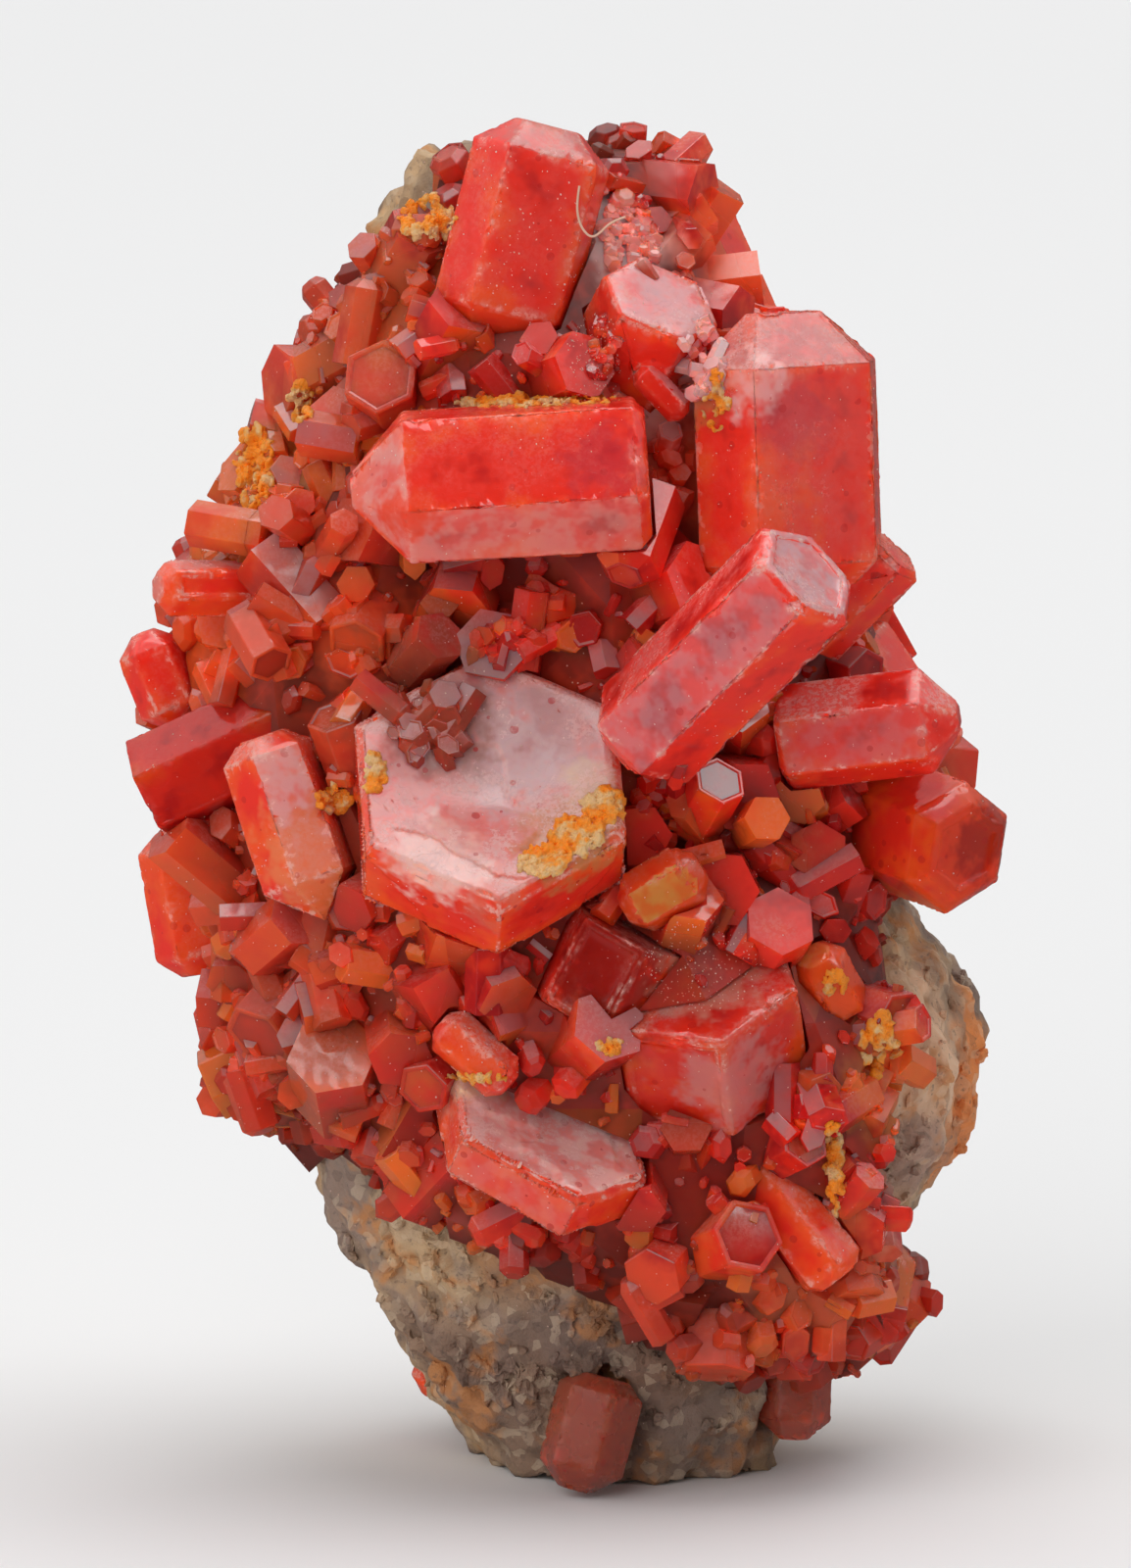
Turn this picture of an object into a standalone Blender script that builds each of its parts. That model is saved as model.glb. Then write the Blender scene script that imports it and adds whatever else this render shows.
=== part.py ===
"""A vanadinite specimen: blocky red hexagonal crystals grown on a lump of brown rock.

Run with: blender --background --python part.py
Metres, +Z up, the display side faces -Y. The origin is on the flat foot of the rock, which lies in z = 0.
Sizes below are in millimetres and angles in degrees.
"""

import math
import random
from collections import namedtuple

import bmesh
import bpy
from mathutils import Matrix, Vector, noise
from mathutils.bvhtree import BVHTree

MM = 0.001

# Driving dimensions
GAP = 0.04  # clear space between a crystal and the pocket that it stands in
ROCK_SIDES = 24
ROCK_RINGS = 17
ROCK_SQUARENESS = 2.3  # exponent of the rock's rounded outline, 2 for an ellipse
LUMP = 0.36
LUMP_SIZE = 2.3
KNOB = 0.24
KNOB_SIZE = 1.0
HOLLOW_FRONT = 3.0  # how far before the middle of the foot the hollows lie
CRUST_THICKNESS = 0.75  # how far the crust of small crystals stands off the rock
CRUST_DIVE = 0.3  # how far the crust's skin runs inside the rock where no crust grows
CRUST_EDGE = 0.7  # over what width the crust thins out
CRUST_WRAP = 1.4  # how far behind the middle of the foot the crust reaches round the sides
EDGE_WANDER = 0.5
EDGE_WANDER_SIZE = 1.1
BARE_RIGHT_FROM = 3.1  # on the lower right the rock is bare beyond this distance across
BARE_RIGHT_LOW = 1.8
BARE_RIGHT_HIGH = 8.0
BARE_RIGHT_RETREAT = 4.5  # how much further forward the crust ends there
BARE_LEFT_FROM = -0.8  # on the upper left it is bare beyond this one
BARE_LEFT_LOW = 14.5
BARE_LEFT_RETREAT = 2.6
SMALL_CRYSTALS = 108
SMALL_WIDTHS = (0.55, 1.05)
SMALL_SLENDERNESS = 1.35  # length over width
SMALL_LEAN = 0.55  # spread of their axes about the surface's normal
SMALL_SINK = 0.15  # how far their middles lie under the surface
SMALL_ROOM = 0.62  # spacing over width
SMALL_TURNS = (160, 380)  # part of the way round the rock, in degrees, that they may grow on
SMALL_HEIGHTS = (1.2, 16.6)
STANDING_ROOM = 0.32  # room kept round a standing crystal, over its width and length together
GROWN_IN_ROOM = 0.3
SMALL_COVER = 0.7  # how well the crust must cover the rock for one to grow there
SCATTER_SEED = 11

# The display side is seen from a little above. Places of crystals are given as that viewer sees them:
# across to the right, up, and front, how far before the middle of the foot they stand.
VIEW_DIP = math.radians(10)
ACROSS = Vector((1, 0, 0))
UPWARD = Vector((0, math.sin(VIEW_DIP), math.cos(VIEW_DIP)))
TOWARD = Vector((0, -math.cos(VIEW_DIP), math.sin(VIEW_DIP)))

Level = namedtuple("Level", "height left right front back")
ROCK_LEVELS = (
    Level(0.0, -1.2, 2.8, 1.8, 2.4),
    Level(0.6, -1.6, 3.1, 2.1, 2.9),
    Level(1.5, -2.1, 3.4, 2.4, 3.3),
    Level(2.5, -2.6, 4.0, 2.7, 3.7),
    Level(3.3, -3.2, 4.8, 2.9, 3.9),
    Level(4.0, -3.4, 5.2, 3.0, 4.0),
    Level(4.8, -3.3, 5.4, 3.1, 4.1),
    Level(5.6, -3.3, 5.2, 3.2, 4.2),
    Level(6.6, -3.5, 4.6, 3.3, 4.3),
    Level(7.8, -4.0, 3.9, 3.3, 4.3),
    Level(9.0, -4.2, 3.9, 3.2, 4.2),
    Level(10.2, -4.3, 3.4, 3.0, 4.1),
    Level(11.3, -3.9, 2.9, 2.8, 3.9),
    Level(12.5, -3.3, 2.5, 2.5, 3.6),
    Level(13.7, -2.4, 2.1, 2.2, 3.2),
    Level(14.9, -2.6, 1.7, 1.8, 2.7),
    Level(16.0, -2.5, 1.2, 1.3, 2.0),
    Level(16.8, -1.8, 0.5, 0.6, 1.1),
)

# Hollows in the display side, as across, up, radius and depth.
Hollow = namedtuple("Hollow", "across up radius depth")
HOLLOWS = (
    Hollow(-1.3, 10.8, 1.2, 0.8),
    Hollow(2.1, 8.0, 1.0, 0.6),
    Hollow(-0.5, 13.8, 0.9, 0.5),
    Hollow(-3.2, 9.6, 0.7, 0.5),
    Hollow(-3.0, 5.8, 0.7, 0.4),
)

# The lower edge of the crust on the display side, as across and height.
CRUST_FOOT = ((-5.5, 4.5), (-3.2, 4.0), (-1.2, 3.3), (0.6, 2.5), (1.6, 1.5), (5.5, 0.9))

Crystal = namedtuple("Crystal", "across up front heading toward roll width depth length tip root")


def crystal(across, up, front, heading, width, length, toward=0, roll=0, depth=None, tip=0, root=0):
    """A hexagonal prism. heading turns its long axis from the right towards the top, toward leans it to the
    viewer, and roll turns it about that axis, from one flat side facing the viewer. width is from corner to
    corner, depth from flat to flat, and tip and root are the bevels of the two ends."""
    depth = depth or width * math.sin(math.radians(60))
    return Crystal(across, up, front, heading, toward, roll, width, depth, length, tip, root)


# The crystals that stand out one by one, each a piece of its own, or two where they are grown together.
STANDING = {
    "top_crystal": (crystal(-0.53, 15.5, 2.0, 76, 1.85, 2.9, roll=15, depth=1.2, tip=0.4, root=0.45),),
    "long_prism": (crystal(-0.8, 12.38, 3.7, 3.7, 2.08, 3.75, roll=-20, depth=1.5, tip=0.15, root=0.7),),
    "right_block": (
        crystal(2.81, 12.8, 2.7, 92, 2.55, 3.45, toward=4, roll=25, depth=1.6, tip=0.65, root=0.3),
        crystal(3.64, 11.0, 2.3, 45, 0.95, 1.55, toward=15, tip=0.08),
    ),
    "shoulder_crystal": (
        crystal(0.86, 13.98, 2.15, 62, 1.6, 2.1, toward=40, roll=8, depth=1.25, tip=0.06),
        crystal(1.23, 13.5, 2.9, -46, 0.42, 0.85, tip=0.1, root=0.1),
    ),
    "tilted_prism": (crystal(1.96, 10.15, 4.85, 45, 1.65, 3.65, toward=32, roll=-8, tip=0.1, root=0.25),),
    "right_wedge": (crystal(3.85, 9.3, 3.0, 7, 1.4, 2.3, toward=8, roll=12, tip=0.42, root=0.1),),
    "right_big_crystal": (crystal(4.5, 7.95, 2.1, -20, 1.75, 1.9, toward=50, roll=15, tip=0.2, root=0.1),),
    "far_right_crystal": (crystal(3.9, 9.65, 0.3, 125, 1.5, 2.2, tip=0.4, root=0.1),),
    "central_plate": (crystal(-0.94, 8.3, 3.9, 88, 3.85, 1.5, toward=60, roll=36, depth=3.3, tip=0.12, root=0.3),),
    "left_prism": (crystal(-3.4, 8.05, 3.2, 109, 1.3, 2.5, roll=12, tip=0.25, root=0.55),),
    "left_bar": (crystal(-4.4, 11.06, 1.9, 180, 0.75, 1.6, toward=25, roll=5, tip=0.15),),
    "left_corner_crystal": (crystal(-5.08, 9.9, 0.4, 112, 0.9, 1.35, tip=0.25, root=0.3),),
    "left_block": (crystal(-4.25, 8.95, 1.7, 25, 1.45, 2.2, toward=10, roll=10, tip=0.08),),
    "golden_blade": (crystal(1.24, 7.28, 4.25, 31, 0.75, 1.15, toward=6, roll=12, depth=0.7, tip=0.2, root=0.2),),
    "cube_and_block": (
        crystal(0.52, 6.27, 3.85, 62, 1.2, 1.25, toward=15, roll=-8, depth=1.2),
        crystal(1.75, 5.6, 3.3, 98, 2.7, 1.6, toward=42, roll=38, tip=0.06),
    ),
    "lower_plate": (crystal(-0.29, 4.04, 3.7, 64, 2.9, 0.9, toward=42, roll=-5, depth=2.1, tip=0.1, root=0.2),),
    "bright_bar": (crystal(-1.1, 5.2, 4.15, -42, 0.7, 1.2, toward=5, roll=10, tip=0.15, root=0.15),),
    "orange_crystal": (crystal(3.32, 6.13, 3.1, 120, 0.8, 0.95, toward=40, tip=0.15),),
    "lower_right_prism": (crystal(2.9, 3.1, 3.3, -52, 0.95, 1.9, roll=20, tip=0.15),),
    "front_foot_crystal": (crystal(0.33, 0.37, 2.4, 255, 1.15, 1.5, roll=10, tip=0.3, root=0.2),),
    "right_foot_crystal": (crystal(2.95, 0.95, 1.0, 268, 0.95, 1.4, tip=0.25),),
    "right_lower_crystal": (crystal(3.95, 2.1, 0.6, 80, 0.95, 1.5, tip=0.25, root=0.25),),
    "left_foot_crystal": (crystal(-1.5, 1.3, -1.0, 250, 0.7, 1.2, tip=0.2),),
    "back_top_crystal": (crystal(1.45, 15.05, -1.3, 114, 2.0, 3.2, toward=-8, tip=0.5),),
    "back_left_crystal": (crystal(-4.75, 7.1, -0.5, 100, 1.15, 1.9, tip=0.25, root=0.25),),
}

# Smaller crystals that are grown into the crust.
IN_CRUST = (
    crystal(0.95, 11.7, 3.5, 250, 0.85, 1.3, toward=35, tip=0.15),
    crystal(-0.45, 10.5, 3.3, 82, 0.5, 1.1, toward=10, roll=20),
    crystal(-1.75, 10.25, 3.2, 45, 0.7, 0.9, toward=50),
    crystal(1.4, 11.0, 3.2, 20, 1.1, 1.1, toward=50),
    crystal(-3.85, 10.4, 2.7, -60, 0.6, 0.9, toward=40),
    crystal(-2.85, 11.7, 2.9, 60, 0.4, 0.8, toward=60),
    crystal(-2.7, 9.0, 3.2, 110, 0.75, 1.1, toward=30),
    crystal(-2.9, 12.95, 2.2, -10, 0.6, 0.8, toward=20),
    crystal(-4.2, 11.8, 1.8, -10, 0.6, 1.0, toward=20),
    crystal(-2.55, 14.4, 1.7, 80, 0.55, 1.1, tip=0.12),
    crystal(-1.95, 15.25, 1.5, 60, 0.9, 1.0, toward=40),
    crystal(2.45, 8.1, 3.6, 30, 0.6, 0.8, toward=72),
    crystal(1.8, 8.35, 3.6, 60, 0.7, 1.0, toward=50),
    crystal(-0.6, 5.7, 3.8, 200, 0.75, 1.0, toward=30),
    crystal(-1.5, 5.85, 3.6, 120, 1.0, 1.3, toward=30),
    crystal(-2.6, 6.4, 3.3, 20, 0.6, 1.1, toward=20, tip=0.12),
    crystal(-3.6, 6.7, 2.7, 40, 0.8, 1.0, toward=50),
    crystal(-4.55, 7.6, 2.0, 140, 0.8, 1.2, toward=20),
    crystal(-2.85, 4.9, 2.9, 100, 1.2, 1.2, toward=60),
    crystal(-1.8, 4.35, 3.1, 60, 0.8, 1.1, toward=20),
    crystal(-0.8, 3.1, 3.1, -20, 0.9, 1.1, toward=20),
    crystal(1.7, 2.35, 3.0, 30, 0.75, 0.9, toward=40),
    crystal(1.95, 4.0, 3.4, 25, 0.65, 1.25, toward=5),
    crystal(2.95, 4.05, 3.0, 0, 0.75, 1.0, toward=30),
    crystal(3.9, 5.0, 2.4, -10, 0.45, 0.8),
    crystal(2.6, 6.65, 3.5, 60, 0.95, 1.0, toward=60),
    crystal(0.0, 13.75, 2.8, 20, 0.9, 1.0, toward=55),
    crystal(3.2, 1.95, 2.5, 60, 0.95, 1.1, toward=40),
    crystal(2.4, 2.1, 2.8, 110, 0.8, 1.0, toward=40),
    crystal(1.3, 3.95, 3.2, 10, 0.95, 1.1, toward=30),
    crystal(0.6, 3.0, 3.0, 80, 0.85, 1.0, toward=30),
    crystal(2.05, 3.05, 3.0, 60, 0.85, 1.0, toward=50),
)

RED = (0.58, 0.05, 0.03)
CRUST_RED = (0.42, 0.05, 0.03)
DEEP_RED = (0.30, 0.02, 0.01)
ROSE = (0.52, 0.13, 0.11)
DUSTY_PINK = (0.56, 0.26, 0.23)
ORANGE_RED = (0.62, 0.12, 0.04)
BROWN_RED = (0.32, 0.10, 0.06)
ROCK_BROWN = (0.33, 0.22, 0.15)
AMBER = (0.42, 0.13, 0.04)
COLOURS = {
    "right_block": ROSE,
    "shoulder_crystal": ROSE,
    "tilted_prism": ROSE,
    "central_plate": DUSTY_PINK,
    "left_prism": ROSE,
    "left_block": DEEP_RED,
    "golden_blade": AMBER,
    "cube_and_block": CRUST_RED,
    "lower_plate": DUSTY_PINK,
    "bright_bar": ROSE,
    "orange_crystal": ORANGE_RED,
    "front_foot_crystal": BROWN_RED,
    "right_foot_crystal": BROWN_RED,
    "left_foot_crystal": BROWN_RED,
    "right_lower_crystal": BROWN_RED,
}


def clear_scene():
    for old in list(bpy.data.objects):
        bpy.data.objects.remove(old)


def place(across, up, front):
    """The point that the viewer sees at that place, front millimetres before the middle of the foot."""
    height = (up + front * math.sin(VIEW_DIP)) / math.cos(VIEW_DIP)
    return Vector((across, -front, height)) * MM


def seen(point):
    """The across, up and front of a point, the reverse of place."""
    return point.x / MM, point.dot(UPWARD) / MM, -point.y / MM


def smooth(value, low, high):
    share = min(1.0, max(0.0, (value - low) / (high - low)))
    return share * share * (3 - 2 * share)


def along(points, value):
    """Reads a broken line of (value, result) pairs."""
    for (low, first), (high, last) in zip(points, points[1:]):
        if value <= high:
            return first + (last - first) * max(0.0, value - low) / (high - low)
    return points[-1][1]


def rock_level(height):
    """The rock's four reaches at a height, eased between the levels above."""
    for low, high in zip(ROCK_LEVELS, ROCK_LEVELS[1:]):
        if height <= high.height:
            share = (height - low.height) / (high.height - low.height)
            return Level(*(a + (b - a) * share for a, b in zip(low, high)))
    return ROCK_LEVELS[-1]


def lumps(point):
    """Broken knobs and hollows of the rock, in millimetres."""
    broad = noise.noise(point / LUMP_SIZE)
    fine = noise.noise(point / KNOB_SIZE)
    grow = LUMP * broad + KNOB * fine
    for hollow in HOLLOWS:
        middle = place(hollow.across, hollow.up, HOLLOW_FRONT) / MM
        grow -= hollow.depth * math.exp(-(((point - middle).length / hollow.radius) ** 2))
    return grow


def crust_cover(point):
    """1 where the crust of small crystals covers the rock, 0 where the rock is bare. point is in millimetres."""
    wander = EDGE_WANDER * noise.noise(point / EDGE_WANDER_SIZE)
    above_foot = smooth(point.z - along(CRUST_FOOT, point.x) + wander, 0, CRUST_EDGE)
    right = smooth(point.x, BARE_RIGHT_FROM, BARE_RIGHT_FROM + 1)
    right *= smooth(BARE_RIGHT_HIGH - point.z, 0, 1) * smooth(point.z - BARE_RIGHT_LOW, 0, 1)
    left = smooth(BARE_LEFT_FROM - point.x, 0, 1) * smooth(point.z - BARE_LEFT_LOW, 0, 1)
    edge = BARE_RIGHT_RETREAT * right + BARE_LEFT_RETREAT * left - CRUST_WRAP
    return above_foot * smooth(-point.y + wander - edge, 0, CRUST_EDGE)


def rock_point(turn, height, crusted):
    level = rock_level(height)
    middle = Vector(((level.left + level.right) / 2, (level.back - level.front) / 2, height))
    half_width = (level.right - level.left) / 2
    half_depth = (level.back + level.front) / 2
    side, face = math.cos(turn), math.sin(turn)
    power = ROCK_SQUARENESS
    reach = (abs(side) ** power + abs(face) ** power) ** (-1 / power)
    point = middle + Vector((half_width * side, half_depth * face, 0)) * reach
    outward = Vector((side / half_width, face / half_depth, 0)).normalized()
    grow = lumps(point)
    if crusted:
        grow += crust_cover(point) * (CRUST_THICKNESS + CRUST_DIVE) - CRUST_DIVE
    return (point + outward * grow) * MM


def new_object(name, bm, colour=None, roughness=0.4):
    mesh = bpy.data.meshes.new(name)
    bm.to_mesh(mesh)
    bm.free()
    made = bpy.data.objects.new(name, mesh)
    bpy.context.scene.collection.objects.link(made)
    if colour:
        material = bpy.data.materials.new(name)
        material.use_nodes = True
        shader = material.node_tree.nodes["Principled BSDF"]
        shader.inputs["Base Color"].default_value = (*colour, 1)
        shader.inputs["Roughness"].default_value = roughness
        shader.inputs["Metallic"].default_value = 0
        mesh.materials.append(material)
    return made


def lofted_lump(name, crusted, colour, roughness, swell=0.0):
    """A closed lump through rings of points around the rock's upright axis."""
    bm = bmesh.new()
    top = ROCK_LEVELS[-1].height
    rings = []
    for ring in range(ROCK_RINGS):
        height = top * ring / (ROCK_RINGS - 1)
        turns = [math.tau * side / ROCK_SIDES for side in range(ROCK_SIDES)]
        rings.append([bm.verts.new(rock_point(turn, height, crusted)) for turn in turns])
    for lower, upper in zip(rings, rings[1:]):
        for side in range(ROCK_SIDES):
            beside = (side + 1) % ROCK_SIDES
            bm.faces.new((lower[side], lower[beside], upper[beside], upper[side]))
    bm.faces.new(reversed(rings[0]))
    bm.faces.new(rings[-1])
    bmesh.ops.triangulate(bm, faces=bm.faces[:])
    if swell:
        bm.normal_update()
        for vertex, normal in [(v, v.normal.copy()) for v in bm.verts]:
            vertex.co += normal * swell * MM
    return new_object(name, bm, colour, roughness)


def long_axis(shape):
    heading, toward = math.radians(shape.heading), math.radians(shape.toward)
    flat = ACROSS * math.cos(heading) + UPWARD * math.sin(heading)
    return flat * math.cos(toward) + TOWARD * math.sin(toward)


def prism(name, shape, swell=0.0, colour=None, roughness=0.25):
    """One crystal as a closed hexagonal prism with bevelled ends, swollen all over by swell."""
    corner = shape.depth / math.sqrt(3)
    stretch = shape.width / 2 - corner
    bm = bmesh.new()
    bmesh.ops.create_cone(
        bm, cap_ends=True, segments=6, radius1=corner + swell, radius2=corner + swell, depth=shape.length + 2 * swell
    )
    for vertex in bm.verts:
        vertex.co.y += math.copysign(stretch, vertex.co.y)
    for end, bevel in ((1, shape.tip), (-1, shape.root)):
        if not bevel:
            continue
        rim = [e for e in bm.edges if all(v.co.z * end > 0 for v in e.verts)]
        bmesh.ops.bevel(bm, geom=rim, offset=bevel, segments=1, affect="EDGES")
    axis = long_axis(shape)
    front = (TOWARD - axis * TOWARD.dot(axis)).normalized()
    frame = Matrix((front, axis.cross(front), axis)).transposed().to_4x4()
    turned = frame @ Matrix.Rotation(math.radians(shape.roll), 4, "Z") @ Matrix.Scale(MM, 4)
    centre = place(shape.across, shape.up, shape.front)
    bmesh.ops.transform(bm, matrix=Matrix.Translation(centre) @ turned, verts=bm.verts)
    return new_object(name, bm, colour, roughness)


def combine(target, operation, tools):
    """Joins the tools to the target or cuts them from it, in one step, and removes them."""
    group = bpy.data.collections.new(target.name + "_tools")
    bpy.context.scene.collection.children.link(group)
    for tool in tools:
        group.objects.link(tool)
        tool.hide_render = True
        tool.display_type = "WIRE"
    modifier = target.modifiers.new(operation.lower(), "BOOLEAN")
    modifier.operation = operation
    modifier.operand_type = "COLLECTION"
    modifier.collection = group
    graph = bpy.context.evaluated_depsgraph_get()
    mesh = bpy.data.meshes.new_from_object(target.evaluated_get(graph))
    target.modifiers.clear()
    target.data = mesh
    for tool in tools:
        bpy.data.objects.remove(tool)
    bpy.data.collections.remove(group)


def keep_largest(target):
    """Drops the loose crumbs that a cut leaves beside the main body."""
    bm = bmesh.new()
    bm.from_mesh(target.data)
    left = set(bm.verts)
    bodies = []
    while left:
        found, edge = set(), [left.pop()]
        while edge:
            vertex = edge.pop()
            found.add(vertex)
            for link in vertex.link_edges:
                other = link.other_vert(vertex)
                if other in left:
                    left.discard(other)
                    edge.append(other)
        bodies.append(found)
    bodies.sort(key=len)
    crumbs = [vertex for body in bodies[:-1] for vertex in body]
    bmesh.ops.delete(bm, geom=crumbs, context="VERTS")
    bm.to_mesh(target.data)
    bm.free()


def all_standing():
    return [shape for shapes in STANDING.values() for shape in shapes]


def crowded(point, taken):
    return any((point - other).length < room for other, room in taken)


def scattered_crystals(lump):
    """Small crystals over the crust, each leaning a little off the surface that it grows from."""
    chance = random.Random(SCATTER_SEED)
    tree = BVHTree.FromObject(lump, bpy.context.evaluated_depsgraph_get())
    taken = []
    for shapes, room in ((all_standing(), STANDING_ROOM), (IN_CRUST, GROWN_IN_ROOM)):
        taken += [(place(s.across, s.up, s.front), room * (s.width + s.length) * MM) for s in shapes]
    made = []
    while len(made) < SMALL_CRYSTALS:
        turn = math.radians(chance.uniform(*SMALL_TURNS))
        height = chance.uniform(*SMALL_HEIGHTS)
        lean = Vector([chance.gauss(0, SMALL_LEAN) for _ in range(3)])
        width = chance.uniform(*SMALL_WIDTHS)
        roll = chance.uniform(0, 60)
        if crust_cover(rock_point(turn, height, False) / MM) < SMALL_COVER:
            continue
        spot, normal, _, _ = tree.find_nearest(rock_point(turn, height, True))
        if crowded(spot, taken):
            continue
        taken.append((spot, SMALL_ROOM * width * MM))
        axis = (normal + lean).normalized()
        toward = math.degrees(math.asin(axis.dot(TOWARD)))
        heading = math.degrees(math.atan2(axis.dot(UPWARD), axis.dot(ACROSS)))
        middle = seen(spot - normal * SMALL_SINK * MM)
        shape = crystal(*middle, heading, width, width * SMALL_SLENDERNESS, toward, roll)
        made.append(prism("small_crystal", shape))
    return made


def build():
    clear_scene()
    rock = lofted_lump("matrix", False, ROCK_BROWN, 0.85)
    rock_cutter = lofted_lump("rock_cutter", False, None, 0, swell=GAP)
    crust = lofted_lump("crystal_crust", True, CRUST_RED, 0.3)
    small = [prism("grown_in", shape) for shape in IN_CRUST]
    small += scattered_crystals(crust)
    combine(crust, "UNION", small)
    combine(crust, "DIFFERENCE", [rock_cutter])
    for lump in (crust, rock):
        combine(lump, "DIFFERENCE", [prism("pocket", shape, swell=GAP) for shape in all_standing()])
        keep_largest(lump)
    for name, shapes in STANDING.items():
        piece = prism(name, shapes[0], colour=COLOURS.get(name, RED))
        if len(shapes) > 1:
            combine(piece, "UNION", [prism("joined", shape) for shape in shapes[1:]])


build()
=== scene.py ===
"""Looks of a vanadinite specimen: glassy red crystals on a crust of smaller ones, over a lump of brown rock.

Laid out as an add-on and run as a script. Metres, +Z up, the display side faces -Y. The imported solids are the
frame: each gets a finer piece in its place, small crystals are grown over the crust, and crumbs and dust are
strewn on what the viewer sees.
"""

import math
import random
from collections import namedtuple

import bpy
import numpy as np
from bpy.props import FloatProperty, FloatVectorProperty, IntProperty, PointerProperty
from bpy.types import Operator, Panel, PropertyGroup
from mathutils import Euler, Matrix, Vector
from mathutils.bvhtree import BVHTree


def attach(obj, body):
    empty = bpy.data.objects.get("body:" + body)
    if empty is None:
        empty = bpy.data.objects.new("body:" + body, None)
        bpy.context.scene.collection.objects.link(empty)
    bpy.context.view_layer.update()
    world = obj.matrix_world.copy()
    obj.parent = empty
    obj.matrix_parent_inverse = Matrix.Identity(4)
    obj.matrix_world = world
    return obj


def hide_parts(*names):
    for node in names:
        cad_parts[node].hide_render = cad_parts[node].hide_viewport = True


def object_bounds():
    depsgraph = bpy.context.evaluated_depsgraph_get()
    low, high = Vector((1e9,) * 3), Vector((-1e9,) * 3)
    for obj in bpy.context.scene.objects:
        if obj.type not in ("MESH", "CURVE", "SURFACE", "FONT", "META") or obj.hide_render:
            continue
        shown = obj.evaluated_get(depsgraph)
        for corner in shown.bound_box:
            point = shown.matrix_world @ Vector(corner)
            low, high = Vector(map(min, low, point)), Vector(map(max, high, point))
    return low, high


bl_info = {
    "name": "Vanadinite specimen",
    "version": (1, 0, 0),
    "blender": (4, 5, 0),
    "location": "View3D > Sidebar > Specimen",
    "description": "Crystals, crust, rock and stage of a vanadinite specimen",
    "category": "Object",
}

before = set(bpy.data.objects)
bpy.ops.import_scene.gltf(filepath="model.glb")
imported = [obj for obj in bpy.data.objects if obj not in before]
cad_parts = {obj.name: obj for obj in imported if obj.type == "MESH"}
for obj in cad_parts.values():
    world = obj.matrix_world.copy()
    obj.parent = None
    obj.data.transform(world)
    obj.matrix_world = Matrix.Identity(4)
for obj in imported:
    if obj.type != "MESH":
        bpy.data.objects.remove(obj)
CAD_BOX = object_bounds()
MM = 0.001

SAME_POINT = 0.0005 * MM
SAME_WAY = 0.85  # the least cosine between a face's normal and the way that it is told by
CRYSTAL_BEND = 15  # the least bend, in degrees, at a crystal's edge
RIM_BAND = 0.4 * MM
WORN_BAND = 0.035 * MM
GRAIN = 0.055 * MM  # the blots of the finest noise on the crystals
REFRACTION = 1.8
FRAME_HEIGHT = 20 * MM
SENSOR = 36
PICTURE_CENTRE = (0.025 * MM, 8.59 * MM)  # across and up
SMALL_LENGTH = 1.35  # of a small crystal, in its widths
DRUSE_DEPTH = (0.12 * MM, 0.95 * MM)  # how far off the rock the tiny crystals of the gaps grow
DRUSE_GAP = 0.1 * MM  # how far they stay from the standing crystals

# Places are given as the viewer of the display side sees them: across to the right, up, and front, how far
# before the middle of the foot, all in millimetres.
VIEW_DIP = math.radians(10)
ACROSS = Vector((1, 0, 0))
UPWARD = Vector((0, math.sin(VIEW_DIP), math.cos(VIEW_DIP)))
TOWARD = Vector((0, -math.cos(VIEW_DIP), math.sin(VIEW_DIP)))


def place(across, up, front):
    height = (up + front * math.sin(VIEW_DIP)) / math.cos(VIEW_DIP)
    return Vector((across, -front, height)) * MM


# Dusty pink, lilac, pale facet, pale rose and grey red are mostly colours of a painted sheen of the light
# above, laid on faces turned to it; the dusty pink is dust as well.
DUST_AND_SHEEN_PINK = (0.62, 0.36, 0.34)
LILAC = (0.56, 0.31, 0.33)
PALE_FACET = (0.44, 0.24, 0.24)
PALE_ROSE = (0.74, 0.30, 0.26)
CREAM = (0.78, 0.58, 0.38)
ORANGE_RED = (0.84, 0.055, 0.016)
ORANGE_BROWN = (0.56, 0.19, 0.06)
DARK_RED = (0.30, 0.012, 0.008)
GREY_RED = (0.42, 0.20, 0.18)
RUST = (0.60, 0.23, 0.06)
OCHRE = (0.86, 0.26, 0.015)
BURNT = (0.45, 0.12, 0.02)
PALE_GRAIN = (0.78, 0.62, 0.44)
PALE_DUST = (0.80, 0.66, 0.60)

# A spot of another colour: where it lies and how far it reaches in millimetres.
Stain = namedtuple("Stain", "across up front reach colour strength")

# A face of another colour, mostly painted light: a painted sheen on faces turned to the light above, a painted
# shade on some sides and a painted glow at some ends; a few, such as the golden blade's front, are the face's
# own colour. Its way is tip or root for the ends, front, upper, lower, left or right for the sides, or two of
# them together for the bevel between.
Tint = namedtuple("Tint", "way colour strength")

# A face that is sunk: its way, the width of the flat rim round it, 0 for a smooth hollow, and the depth.
Dish = namedtuple("Dish", "way rim depth")

# A standing crystal's finish. heading and toward give its long axis, steps are shares of its length where a
# growth ledge runs round it, the dust and sheen share is how dusty it is and how much painted sheen its upward
# faces get, tone its place between orange and deep red, terrace how strong its growth lines are, and clear how
# much is seen through it.
Look = namedtuple("Look", "heading toward steps bloom tone rough terrace clear tints dish stains")


def look(heading, toward=0, steps=(), bloom=0.25, tone=0.5, rough=0.1, terrace=0.5, clear=0.0, tints=(),
         dish=None, stains=()):
    return Look(heading, toward, steps, bloom, tone, rough, terrace, clear, tints, dish, stains)


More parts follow.
